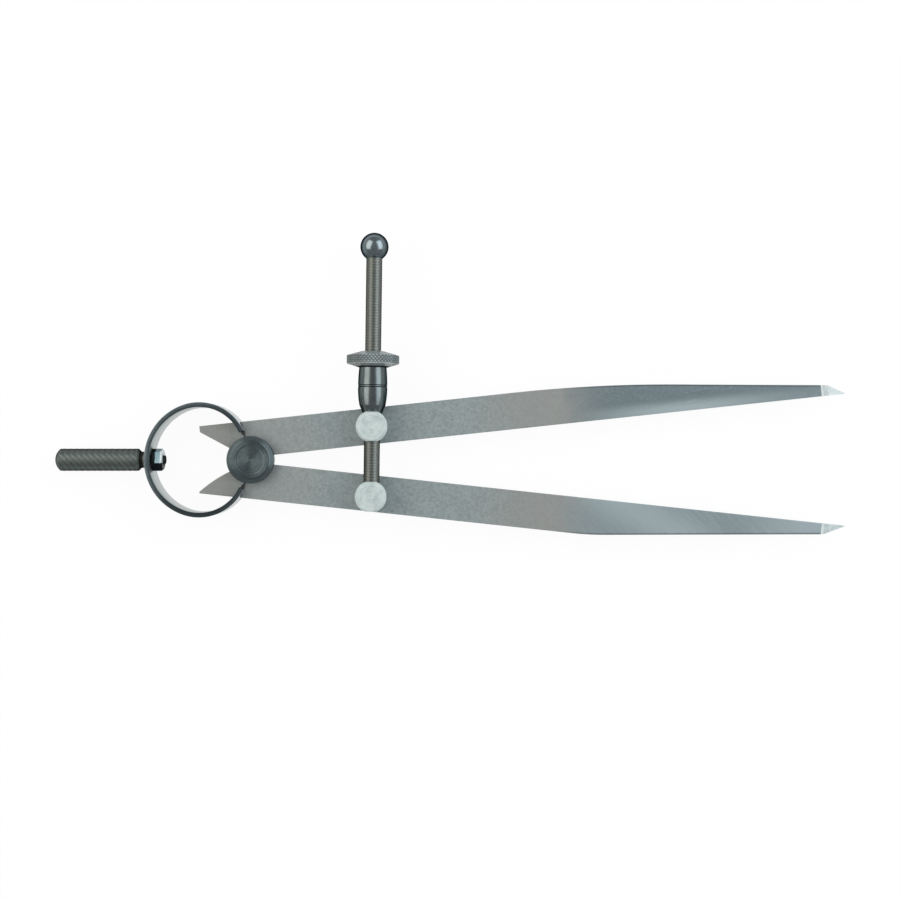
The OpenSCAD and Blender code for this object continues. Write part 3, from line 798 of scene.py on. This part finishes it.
# %% Washer and nut on the stem
STEM_HOLE_R = 1.35
WASHER_R = 2.8
WASHER_THICK = 0.8
SPLIT_HALF = 0.25
WASHER_X = CROWN.x - math.sqrt((CROWN_R - SPRING_THICK) ** 2 - WASHER_R**2) + 0.02
NUT_X = WASHER_X + WASHER_THICK


def washer(name, bore_r, outer_r, low, high, edge):
    """A flat washer about Z between two heights, with rounded edges."""
    corners = [(bore_r, low), (outer_r, low), (outer_r, high), (bore_r, high)]
    return as_object(turned(rounded_loop(corners, edge), 72, closed=True), name)


lock_washer = washer("lock_washer", STEM_HOLE_R, WASHER_R, 0, WASHER_THICK, 0.12)
cut(lock_washer, [box_tool((-SPLIT_HALF, 1, -1), (SPLIT_HALF, 4, 2))])
finished(lock_washer, washer_finish, "bow", ["handle_lock_washer"],
         Matrix.Translation((WASHER_X, 0, 0)) @ ALONG_X)

HEX_FLATS = 5.0
HEX_THICK = 1.8
HEX_TURN = math.radians(16.5)
HEX_BORE_R = 1.27
corner = HEX_FLATS / math.sqrt(3)
barrel = [
    (HEX_BORE_R, 0), (corner + 0.1, 0), (corner + 0.1, HEX_THICK - 0.5), (2.4, HEX_THICK),
    (1.55, HEX_THICK), (HEX_BORE_R, HEX_THICK - 0.28),
]
hex_nut = as_object(turned(barrel, 96, closed=True), "hex_nut")
prism = rod_tool(corner, -1, HEX_THICK + 1, Matrix.Rotation(HEX_TURN, 4, "Z"), 6)
cut(hex_nut, [prism], "INTERSECT")
finished(hex_nut, hex_finish, "bow", ["handle_nut"],
         Matrix.Translation((NUT_X, 0, 0)) @ ALONG_X)

# %% [markdown]
# ## The roller
# The legs bear on the waist of this spool. Its front face is turned in steps: a bevelled rim, a land, a
# groove and a faintly dished middle with the centre mark of the lathe. The tool left fine rings on the
# face. They are real relief here, so the lamps show as two light wedges, left and right of the centre.
# The bevel has no rings and is duller, and painted shade darkens it.

# %% Roller
ROLLER_R = 5.9
ROLLER_LENGTH = 9.0
WAIST_R = 3.2
WAIST_LOW = 2.9
WAIST_HIGH = 6.1
REAR_R = 4.5
GROOVE_FLOOR = 8.93
RINGS_ABOVE = 8.9
RING_PITCH = 0.3
RING_DEPTH = 0.035
spool = rounded(
    [
        (0, 0.1), (0.3, 0), (REAR_R - 1.1, 0), (REAR_R, 0.6), (REAR_R, WAIST_LOW), (WAIST_R, WAIST_LOW),
        (WAIST_R, WAIST_HIGH), (ROLLER_R, WAIST_HIGH), (ROLLER_R, 8.4), (4.8, ROLLER_LENGTH),
        (3.68, ROLLER_LENGTH), (3.6, GROOVE_FLOOR), (3.4, GROOVE_FLOOR), (3.3, 8.99), (0.34, 8.95),
        (0, 8.75),
    ],
    0.09,
)
spool = spaced(spool, RING_PITCH / 8, RINGS_ABOVE, ROLLER_LENGTH)
for point in spool:
    if point.y > RINGS_ABOVE and 0.5 < point.x < 4.7:
        point.y -= RING_DEPTH * (1 - math.cos(2 * math.pi * point.x / RING_PITCH)) / 2
roller = as_object(turned(spool, 128), "roller")
finished(roller, roller_finish, "bow", ["fulcrum_roller"])

# %% [markdown]
# ## Flat pieces
# The legs and the bow are flat stock cut to an outline. A plate is built from its outline: a wall round
# the edge, a small round where the wall meets each face, and faces filled from triangles so that holes
# stay open. The thickness may change along the piece, which is how the legs' ground taper is made.

# %% Plates from outlines
def inset(outline, distance):
    """The outline moved in by a distance, for points that run anticlockwise."""
    moved = []
    for before, here, after in zip([outline[-1]] + outline[:-1], outline, outline[1:] + outline[:1]):
        one = (here - before).normalized()
        two = (after - here).normalized()
        normal = Vector((-one.y - two.y, one.x + two.x))
        moved.append(here + normal * (distance / max(1 + one.dot(two), 0.3)))
    return moved


def plate(outline, middle, half_thick, edge, holes=(), splits=()):
    """A draft plate. half_thick gives half the thickness at x. At the splits its faces change slope."""
    draft = bmesh.new()
    loops = [list(outline)] + [list(reversed(h)) for h in holes]
    turns = [math.radians(30 * step) for step in range(4)]
    steps = [(edge * (1 - math.cos(a)), edge * (1 - math.sin(a))) for a in turns] + [(1.4 * edge, 0)]
    faces = {1: [], -1: []}
    for loop in loops:
        rims = {}
        for sign in (1, -1):
            rows = []
            for move, drop in steps:
                points = inset(loop, move)
                heights = [middle + sign * (half_thick(p.x) - drop) for p in points]
                rows.append([draft.verts.new((p.x, p.y, h)) for p, h in zip(points, heights)])
            rims[sign] = rows
            faces[sign].append(rows[-1])
        bands = [pair for rows in rims.values() for pair in zip(rows, rows[1:])]
        bands.append((rims[1][0], rims[-1][0]))
        for upper, lower in bands:
            for k in range(len(loop)):
                n = (k + 1) % len(loop)
                draft.faces.new((upper[k], upper[n], lower[n], lower[k]))
    limits = [-math.inf, *splits, math.inf]
    for rows in faces.values():
        for low, high in zip(limits, limits[1:]):
            parts = [[v for v in row if low - 0.05 <= v.co.x <= high + 0.05] for row in rows]
            parts = [part for part in parts if len(part) > 2]
            corners = [v for part in parts for v in part]
            flat = [[Vector((v.co.x, v.co.y, 0)) for v in part] for part in parts]
            for three in tessellate_polygon(flat):
                draft.faces.new([corners[i] for i in three])
    bmesh.ops.recalc_face_normals(draft, faces=draft.faces)
    return draft


def arc(centre, radius, start, end, steps):
    """Points along an arc, with its angles in radians."""
    return [
        Vector(centre) + radius * Vector((math.cos(a), math.sin(a)))
        for a in (start + (end - start) * i / steps for i in range(steps + 1))
    ]


print("plates ready")

# %% [markdown]
# ## The bow spring
# The bow is one strip. Its crown is nearly a circle, its two ends curl in a little tighter, and each end
# is forked: two prongs straddle the leg and the root of the fork sits in a notch in the leg's outer edge.
# It bends when the legs open. It is cut in two at the crown.

# %% Bow spring sizes
LEG_THICK = 3.0
SIDE_GAP = 0.1
NOTCH_GAP = 0.1
NOTCH_DEPTH = 1.15
PRONG_DEPTH = 2.5
END_MIDDLE = END_R - SPRING_THICK / 2


def end_angle(across):
    """Angle round the bow's upper end where its middle line is this far across the leg."""
    rise = across + END.x * math.sin(LEG_ANGLE) - END.y * math.cos(LEG_ANGLE)
    return LEG_ANGLE + math.asin(rise / END_MIDDLE)


root_angle = end_angle(OUTER_EDGE - NOTCH_DEPTH)
prong_angle = end_angle(OUTER_EDGE - PRONG_DEPTH)


def on_end(angle):
    """The point of the middle line at an angle round the bow's upper end."""
    return END + END_MIDDLE * Vector((math.cos(angle), math.sin(angle)))


def band_side(inset_by):
    """One side of the strip, from the upper prong round the crown to the lower one."""
    upper = arc(END, END_R - inset_by, prong_angle, BLEND, 40)
    crown = arc(CROWN, CROWN_R - inset_by, BLEND, 2 * math.pi - BLEND, 110)
    return upper + crown[1:-1] + [Vector((p.x, -p.y)) for p in reversed(upper)]


print("prongs end at", round(math.degrees(prong_angle), 1), "degrees")

# %% Bow spring
def fork_tool(side):
    """The slot between the prongs, as a short curved block."""
    past_tip = prong_angle - 0.1
    outer = arc(END, END_R + 1, past_tip, root_angle, 12)
    inner = arc(END, END_R - SPRING_THICK - 1, root_angle, past_tip, 12)
    points = [Vector((p.x, side * p.y)) for p in outer + inner]
    points = points if side > 0 else list(reversed(points))
    half = LEG_THICK / 2 + SIDE_GAP
    return as_object(plate(points, LEG_MID, lambda x: half, 0.001), "fork tool")


strip = band_side(0) + list(reversed(band_side(SPRING_THICK)))
bow = as_object(plate(strip, LEG_MID, lambda x: SPRING_WIDTH / 2, 0.12), "bow")
stem_place = Matrix.Translation((-30, 0, 0)) @ ALONG_X
cut(bow, [fork_tool(1), fork_tool(-1), rod_tool(STEM_HOLE_R, 0, 10, stem_place)])


def half_bow(name, side):
    """One half, which keeps its finish where it was."""
    half = half_of(bow, name, (0, 0, 0), (0, -side, 0))
    finished(half, bow_finish, None, ["bow_spring"])
    rest = half.data.attributes.new("rest_place", "FLOAT_VECTOR", "POINT")
    rest.data.foreach_set("vector", [c for v in half.data.vertices for c in v.co])
    root = on_end(root_angle + 0.06)
    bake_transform(half)
    return half


half_bow("bow_upper_half", 1)
half_bow("bow_lower_half", -1)
bpy.data.objects.remove(bow)

# %% [markdown]
# ## The legs
# Each leg is a flat bar with a straight inner edge. Near the roller its inner edge is cut away in a round
# that bears on the waist, its tail is cut back at a slant, and its outer edge is notched for the bow. The
# outer edge bends in towards the point, and from there the faces are ground down. The two legs differ a
# little in their bends and tails, as on the real tool.

# %% Leg outline
TAPER_START = 80.0
END_HALF = 0.8
TAIL_CUT = math.radians(34.4)
BEARING_R = 3.25
STUD_ALONG = 31.1
STUD_ACROSS = 5.4
STUD_HOLE_R = 2.05
SLOT_HALF = 0.46
SLOT_DEPTH = 3.06
SLANT_STEPS = 120


def bend_edge(bend, run):
    """Points of the outer edge round the bend, from the point's side, with one where the taper starts."""
    steps = {bend + run * (1 - i / 6) for i in range(13)} | {TAPER_START}
    edge = []
    for x in sorted(steps, reverse=True):
        reach = max(0, x - bend + run)
        edge.append(Vector((x, OUTER_EDGE - edge_slope(bend) * reach**2 / (4 * run))))
    return edge


def leg_outline(bend, run, tail, tail_end, swell):
    """Points of the upper leg's outline, along and across the leg, anticlockwise."""
    high = OUTER_EDGE - tail_end
    cut_run = (high - INNER_EDGE) / math.tan(TAIL_CUT)
    slant = []
    for i in range(SLANT_STEPS + 1):
        t = i / SLANT_STEPS
        bulge = 4 * swell * t * (1 - t)
        point = Vector((-tail + t * cut_run - bulge * math.sin(TAIL_CUT),
                        high - t * (high - INNER_EDGE) - bulge * math.cos(TAIL_CUT)))
        if point.length > BEARING_R + 0.02:
            slant.append(point)
    slant = slant[:-1:6] + [slant[-1]]
    first = math.atan2(slant[-1].y, slant[-1].x)
    last = math.asin(INNER_EDGE / BEARING_R)
    bearing = arc((0, 0), BEARING_R, first, last, 36)

    turn_back = Matrix.Rotation(-LEG_ANGLE, 2)
    centre = turn_back @ END
    floor = root_angle - LEG_ANGLE - NOTCH_GAP / END_MIDDLE
    walls = []
    for radius in (END_R + NOTCH_GAP, END_R - SPRING_THICK - NOTCH_GAP):
        top = math.asin((OUTER_EDGE - centre.y) / radius)
        walls.append(arc(centre, radius, top, floor, 8))
    return slant + bearing + [
        Vector((TAPER_START, INNER_EDGE)), Vector((STEEL_END, INNER_EDGE)),
        Vector((STEEL_END, INNER_EDGE + END_WIDTH)),
    ] + bend_edge(bend, run) + walls[0] + list(reversed(walls[1])) + [Vector((-tail, OUTER_EDGE))]


def leg_half_thick(x):
    """Half the leg's thickness, which falls evenly from the start of the taper."""
    fall = (LEG_THICK / 2 - END_HALF) / (STEEL_END - TAPER_START)
    return LEG_THICK / 2 - max(0, x - TAPER_START) * fall


UPPER_SHAPE = (UPPER_BEND, UPPER_BEND_RUN, 12.1, 1.5, 0.0)
LOWER_SHAPE = (LOWER_BEND, LOWER_BEND_RUN, 12.1, 0.4, 0.9)
print("outline points:", len(leg_outline(*UPPER_SHAPE)), "and", len(leg_outline(*LOWER_SHAPE)))

# %% Legs
PIT_R = 0.55
PIT_AHEAD = 0.35
PIT_DEPTH = 1.0
LINE_HALF = 0.22


def runout_tools():
    """Tools that cut a pit at each prong's end and a thin line from there to the roller, on both faces."""
    tip = on_end(prong_angle)
    reach = tip.length - ROLLER_R + 0.8
    tools = []
    place = Matrix.Translation((*tip, 0)) @ Matrix.Rotation(prong_angle - math.pi / 2, 4, "Z")
    place = Matrix.Rotation(-LEG_ANGLE, 4, "Z") @ place
    pit_place = place @ Matrix.Translation((PIT_AHEAD, 0, 0))
    for face in (LEG_MID + LEG_THICK / 2, LEG_MID - LEG_THICK / 2):
        low = face - PIT_DEPTH
        high = face + PIT_DEPTH
        line = box_tool((0, -LINE_HALF, low), (reach, LINE_HALF, high))
        line.data.transform(place)
        tools += [line, rod_tool(PIT_R, low, high, pit_place, 32)]
    return tools


def leg(name, side, finish, shape):
    """One leg, drawn as the upper one and mirrored for the lower."""
    stud_place = Matrix.Rotation(-side * SCREW_LEAN, 2) @ Vector((STUD_ALONG, STUD_ACROSS))
    stud_hole = arc(stud_place, STUD_HOLE_R, 0, 2 * math.pi * 47 / 48, 47)
    draft = plate(leg_outline(*shape), LEG_MID, leg_half_thick, 0.12, [stud_hole], [TAPER_START])
    piece = as_object(draft, name + "_bar")
    slot_low = (STEEL_END - SLOT_DEPTH, -1, LEG_MID - SLOT_HALF)
    slot_high = (STEEL_END + 3, 12, LEG_MID + SLOT_HALF)
    cut(piece, runout_tools() + [box_tool(slot_low, slot_high)])
    place = Matrix.Rotation(LEG_ANGLE, 4, "Z")
    if side < 0:
        place = Matrix.Diagonal((1, -1, 1, 1)) @ place
    return finished(piece, finish, name, [name], place)


leg("upper_leg", 1, upper_leg_finish, UPPER_SHAPE)
leg("lower_leg", -1, lower_leg_finish, LOWER_SHAPE)

# %% [markdown]
# ## Points and braze
# The carbide points keep the shape of their solids: ground flats that meet in true edges. A copy of the
# solid is merged into one skin first. The lower point was ground once more, so its outer edge slopes the
# whole way from the braze. The braze shows as a thin bright bead between carbide and steel.

# %% Points and braze
BEAD_LENGTH = 0.6
POINT_LENGTH = 6.0
POINT_WIDTH = 0.13


def merged_copy(node, name):
    """A copy of a solid's mesh in millimetres, with its loose triangles merged into plain faces."""
    draft = bmesh.new()
    draft.from_mesh(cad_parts[node].data)
    bmesh.ops.scale(draft, vec=(1 / MM,) * 3, verts=draft.verts)
    bmesh.ops.remove_doubles(draft, verts=draft.verts, dist=1e-3)
    bmesh.ops.dissolve_limit(draft, angle_limit=math.radians(1), verts=draft.verts, edges=draft.edges)
    return as_object(draft, name)


def slope_tool(bend):
    """A box along the lower point's outer slope, from the braze to the very point, to cut with."""
    start = Vector((STEEL_END + BEAD_LENGTH, INNER_EDGE + END_WIDTH - BEAD_LENGTH * edge_slope(bend)))
    run = Vector((STEEL_END + POINT_LENGTH, INNER_EDGE + POINT_WIDTH)) - start
    tool = box_tool((0, -4, 0), (run.length + 1, 0, 9))
    place = Matrix.Translation((start.x, -start.y, 0)) @ Matrix.Rotation(-math.atan2(run.y, run.x), 4, "Z")
    tool.data.transform(Matrix.Rotation(-LEG_ANGLE, 4, "Z") @ place)
    return tool


for side_name in ("upper", "lower"):
    leg_body = side_name + "_leg"
    tip = merged_copy(side_name + "_point", side_name + "_tip")
    if side_name == "lower":
        cut(tip, [slope_tool(LOWER_BEND)])
    finished(tip, carbide_finishes[side_name], leg_body, [side_name + "_point"])
    bead = merged_copy(side_name + "_braze", side_name + "_bead")
    finished(bead, braze_finish, leg_body, [side_name + "_braze"])

# %% [markdown]
# ## Swivel studs
# A stud turns in its leg and carries the screw through its head. The head is round with two flats, one for
# the nut's nose to seat on. Behind the leg a washer and a peened end hold it. The face keeps its rings.

# %% Studs and their washers
HEAD_R = 3.9
HEAD_LOW = 6.1
HEAD_FACE = 13.1
HEAD_BREAK = 0.5
FACE_GROOVE = 13.03
FLAT_AT = 3.65
SHANK_R = 2.0
NECK_BEHIND_R = 1.4
PEENED_R = 2.2
WASHER_LOW = 2.1
WASHER_HIGH = 2.9


def stud(side_name, finish, place, hole_r, has_seat):
    """One stud and the washer behind its leg. A seat takes the nut's tapered nose."""
    name = side_name + "_swivel_stud"
    profile = rounded(
        [
            (0, 1.5), (NECK_BEHIND_R, 1.5), (PEENED_R, WASHER_LOW), (NECK_BEHIND_R, WASHER_LOW),
            (NECK_BEHIND_R, WASHER_HIGH), (SHANK_R, WASHER_HIGH), (SHANK_R, HEAD_LOW), (HEAD_R, HEAD_LOW),
            (HEAD_R, HEAD_FACE - HEAD_BREAK), (HEAD_R - HEAD_BREAK, HEAD_FACE), (2.7, HEAD_FACE),
            (2.62, FACE_GROOVE), (2.46, FACE_GROOVE), (2.38, HEAD_FACE), (0.45, 13.05), (0, 12.9),
        ],
        0.07,
    )
    piece = as_object(turned(profile, 96), name)
    tools = [box_tool((-5, FLAT_AT, 6.0), (5, 6, 14)), box_tool((-5, -6, 6.0), (5, -FLAT_AT, 14))]
    across = Matrix.Translation((0, 0, SCREW_Z)) @ Z_TO_Y
    tools.append(rod_tool(hole_r, -6, 6, across))
    if has_seat:
        cone = [(0, 3.05), (2.4, 3.05), (3.11, 4.65), (0, 4.65)]
        seat = as_object(turned(cone, 64), "seat tool")
        seat.data.transform(across)
        tools.append(seat)
    cut(piece, tools)
    body = side_name + "_swivel"
    where = LEAN_TURN @ Matrix.Translation(place)
    finished(piece, finish, body, [side_name + "_stud"], where)
    behind = washer(name + "_washer", 1.42, 3.5, WASHER_LOW, WASHER_HIGH, 0.08)
    finished(behind, rear_finish, body, [side_name + "_stud_washer"], where)


stud("upper", upper_stud_finish, UPPER_STUD, 2.25, True)
stud("lower", lower_stud_finish, LOWER_STUD, 2.02, False)

# %% [markdown]
# ## Screw and ball
# The screw is fixed in the lower stud and slides through the upper one. Its thread runs the whole way up
# to the ball, which stops the nut. The tree that threads the handle's stem cuts it, with a coarser pitch.

# %% Screw and ball
SCREW_START = -12.324
SCREW_R = 2.0
SCREW_PITCH = 0.7
SCREW_BREAK = 0.3
SPIGOT_R = 1.5
SPIGOT_LENGTH = 3.6
SPIGOT_GAP = 0.02
BALL_Y = 53.2258
SEAT_DROP = 2.8369
screw_top = BALL_Y - SEAT_DROP
spigot_end = screw_top + SPIGOT_LENGTH
rod = [
    (0, SCREW_START), (SCREW_R - SCREW_BREAK, SCREW_START), (SCREW_R, SCREW_START + SCREW_BREAK),
    (SCREW_R, screw_top), (SPIGOT_R, screw_top), (SPIGOT_R, spigot_end), (0, spigot_end),
]
rod = spaced(rod, SCREW_PITCH / 8, SCREW_START, screw_top - 0.01)
screw = as_object(turned(rod, 48), "screw")
with_tree(screw, thread_tree, {
    "Radius": SCREW_R, "Depth": 0.035, "Count": 1.0, "Pitch": SCREW_PITCH, "Start": SCREW_START - 1,
    "End": screw_top, "Run-out": 0.5, "Finish": thread_finish,
})
finished(screw, thread_finish, "lower_swivel", ["adjusting_screw"], ALONG_SCREW)

seat_turn = math.acos(SEAT_DROP / BALL_R)
sphere = [
    Vector((BALL_R * math.sin(a), BALL_Y - BALL_R * math.cos(a)))
    for a in (seat_turn + (math.pi - seat_turn) * i / 48 for i in range(49))
]
sphere[-1].x = 0
bore_r = SPIGOT_R + SPIGOT_GAP
bore_end = spigot_end + SPIGOT_GAP
bore = [(0, bore_end), (bore_r, bore_end), (bore_r, screw_top)]
ball = as_object(turned(bore + sphere, 96), "ball")
finished(ball, ball_finish, "lower_swivel", ["screw_ball"], ALONG_SCREW)

# %% [markdown]
# ## The split nut
# The nut is turned whole: a tapered nose, a slightly barrelled body with a groove for a wire ring, and a
# wide knurled flange. Then it is sawn in two, so that the halves can spring off the thread. The draft is
# turned and knurled in one piece and cut in half last, which leaves flat sawn faces.

# %% Split nut
BARREL_TOP = 11.45
BARREL_R = 3.64
BARREL_TOP_R = 3.4
SWELL_AT = 6.3
FLANGE_R = 6.55
BORE_R = 2.05
NOSE_R = 2.3
NOSE_LENGTH = 2.1
RING_AT = 6.85
WIRE_THICK = 0.5
GROOVE_HALF = 0.28
RIM_BREAK = 0.12
SAW_HALF = 0.2
nose_top_r = NOSE_R + NOSE_LENGTH * math.tan(math.radians(24))


def barrel_r(height):
    """Radius of the barrel, which swells to its widest a little below the ring."""
    low_rate = (BARREL_R - nose_top_r) / (SWELL_AT - NOSE_LENGTH) ** 2
    top_rate = (BARREL_R - BARREL_TOP_R) / (BARREL_TOP - SWELL_AT) ** 2
    return BARREL_R - (low_rate if height < SWELL_AT else top_rate) * (height - SWELL_AT) ** 2


groove_floor = barrel_r(RING_AT) - WIRE_THICK - 0.03
groove_low = RING_AT - GROOVE_HALF
groove_high = RING_AT + GROOVE_HALF
body = [(BORE_R, 0), (NOSE_R, 0)]
body += [(barrel_r(h), h) for h in np.linspace(NOSE_LENGTH, groove_low, 12)]
body += [(groove_floor, groove_low), (groove_floor, groove_high)]
body += [(barrel_r(h), h) for h in np.linspace(groove_high, BARREL_TOP, 10)]
body += [
    (FLANGE_R - RIM_BREAK, RIM_LOW - 0.02), (FLANGE_R, RIM_LOW + RIM_BREAK),
    (FLANGE_R, RIM_HIGH - RIM_BREAK), (FLANGE_R - RIM_BREAK, RIM_HIGH + 0.02),
    (2.9, NUT_TOP), (BORE_R + 0.4, NUT_TOP), (BORE_R, NUT_TOP - 3),
]
body = spaced(rounded_loop(body, 0.08, 3), 0.075, RIM_LOW - 0.3, RIM_HIGH + 0.3)
nut = as_object(turned(body, 460, closed=True), "nut")
with_tree(nut, knurl_tree, {
    "Radius": FLANGE_R, "Depth": 0.2, "Count": 46.0, "Pitch": 0.95, "Start": RIM_LOW - 0.5,
    "End": RIM_HIGH + 0.5, "Run-out": 0.001, "Cross": 1.0, "Finish": nut_finish,
})


def half_nut(name, node, side):
    """One half, less half of the saw cut."""
    half = half_of(nut, name, (0, -SAW_HALF * side, 0), (0, side, 0))
    place = ALONG_SCREW @ Matrix.Translation((0, 0, NOSE_Y))
    return finished(half, nut_finish, "nut", [node], place)


half_nut("nut_front", "nut_half_front", 1)
half_nut("nut_rear", "nut_half_rear", -1)
bpy.data.objects.remove(nut)

# %% [markdown]
# ## The wire ring
# An open ring of round wire lies in the groove and pulls the halves together. A ring is a circle swept
# along an arc, which is just what Curve to Mesh does, so this piece is a small geometry tree of its own.

# %% Wire ring
graph, geometry, size = new_tree(
    "wire ring", [("Ring radius", "NodeSocketFloat"), ("Wire radius", "NodeSocketFloat"),
                  ("Open angle", "NodeSocketFloat"), ("Finish", "NodeSocketMaterial")]
)
path = graph.node("GeometryNodeCurveArc", None, {
    "Resolution": 96, "Radius": size["Ring radius"],
    "Start Angle": math.radians(90) + size["Open angle"] / 2,
    "Sweep Angle": 2 * math.pi - size["Open angle"],
})
wire_section = graph.node("GeometryNodeCurvePrimitiveCircle", None, {
    "Resolution": 16, "Radius": size["Wire radius"],
})
wire = graph.node("GeometryNodeCurveToMesh", None, {
    "Curve": path, "Profile Curve": wire_section, "Fill Caps": True,
})
ring_tree = end_tree(graph, wire, size["Finish"])
ring_piece = as_object(bmesh.new(), "wire_ring")
with_tree(ring_piece, ring_tree, {
    "Ring radius": barrel_r(RING_AT) - WIRE_THICK / 2, "Wire radius": WIRE_THICK / 2,
    "Open angle": math.radians(30), "Finish": nut_finish,
})
finished(ring_piece, nut_finish, "nut", ["nut_ring"],
         ALONG_SCREW @ Matrix.Translation((0, 0, NOSE_Y + RING_AT)))

# %% [markdown]
# ## Floor, light and camera
# The tool lies on a white table and is seen from straight above. A warm soft lamp on the left and a cool
# one on the right, both set back a little, give the paired highlights on barrel, screw and ball. The room
# is bright. The table and the backdrop are white to the camera and in metal, and the table still takes a
# soft shadow. Overhead, metal mirrors a dimmer ceiling, so the blued pieces stay dark between highlights.

# %% Floor and world
FLOOR_SIZE = 4.0
FLOOR_DROP = 0.00005
TABLE_GLOW = 0.94
ROOM_LIGHT = 0.57
CEILING = 0.3
floor_draft = bmesh.new()
bmesh.ops.create_grid(floor_draft, x_segments=1, y_segments=1, size=FLOOR_SIZE)
floor = as_object(floor_draft, "floor")
floor.data.transform(Matrix.Translation((0.05, 0, -FLOOR_DROP)))


def seen_rays(graph):
    """1 for rays that show a thing to the camera, straight or by metal or glass, and 0 for others."""
    camera_ray, glossy, through = [
        graph.node("ShaderNodeLightPath", None, None, f"Is {kind} Ray")
        for kind in ("Camera", "Glossy", "Transmission")
    ]
    return camera_ray.math("MAXIMUM", glossy).math("MAXIMUM", through)


table = Finish("white table")
paint = table.node("ShaderNodeBsdfDiffuse", None, {"Color": (0.95, 0.95, 0.95, 1)})
glow = table.node("ShaderNodeEmission", None, {"Color": (1, 1, 1, 1), "Strength": 1.0})
skin = table.node("ShaderNodeMixShader", None, {0: seen_rays(table) * TABLE_GLOW, 1: paint, 2: glow})
table.node("ShaderNodeOutputMaterial", None, {"Surface": skin})
floor.data.materials.append(table.material)

world = bpy.data.worlds.new("studio")
bpy.context.scene.world = world
world.use_nodes = True
studio = Graph(world.node_tree)
studio.tree.nodes.clear()
direction = studio.node("ShaderNodeTexCoord", output="Generated")
up = studio.node("ShaderNodeSeparateXYZ", None, {0: direction}, output=2)
backdrop = 1 - studio.ease(up, 0.0, 0.15)
shown = CEILING + (1 - CEILING) * backdrop
level = ROOM_LIGHT + seen_rays(studio) * (shown - ROOM_LIGHT)
sky = studio.node("ShaderNodeBackground", None, {"Color": (0.97, 0.99, 1, 1), "Strength": level})
studio.node("ShaderNodeOutputWorld", None, {"Surface": sky})
print("floor and world ready")

# %% Lamps and camera
AIM = Vector((0.05, 0.005, 0.005))
HALF_VIEW = math.radians(16.948)
SENSOR = 36


def soft_lamp(name, spot, width, height, power, colour):
    """A rectangular lamp that faces the middle of the tool."""
    lamp = bpy.data.lights.new(name, "AREA")
    lamp.shape = "RECTANGLE"
    lamp.size = width
    lamp.size_y = height
    lamp.energy = power
    lamp.color = colour
    holder = bpy.data.objects.new(name, lamp)
    bpy.context.scene.collection.objects.link(holder)
    holder.location = spot
    holder.rotation_mode = "QUATERNION"
    holder.rotation_quaternion = (AIM - Vector(spot)).to_track_quat("-Z", "Y")


soft_lamp("left lamp", (-0.47, 0.2, 0.52), 0.9, 0.55, 2.7, (1.0, 0.99, 0.92))
soft_lamp("right lamp", (0.6, 0.2, 0.47), 0.9, 0.55, 3.0, (0.88, 0.95, 1.0))

camera_data = bpy.data.cameras.new("photo camera")
camera_data.sensor_width = SENSOR
camera_data.lens = SENSOR / 2 / math.tan(HALF_VIEW)
camera_data.clip_start = 0.01
camera_data.clip_end = 20
camera = bpy.data.objects.new("photo camera", camera_data)
camera.location = (0.04978, 0.00245, 0.376)
bpy.context.scene.collection.objects.link(camera)
bpy.context.scene.camera = camera
bpy.context.scene.view_settings.view_transform = "Standard"
print("camera", round(camera_data.lens, 1), "mm at", tuple(round(c, 4) for c in camera.location))
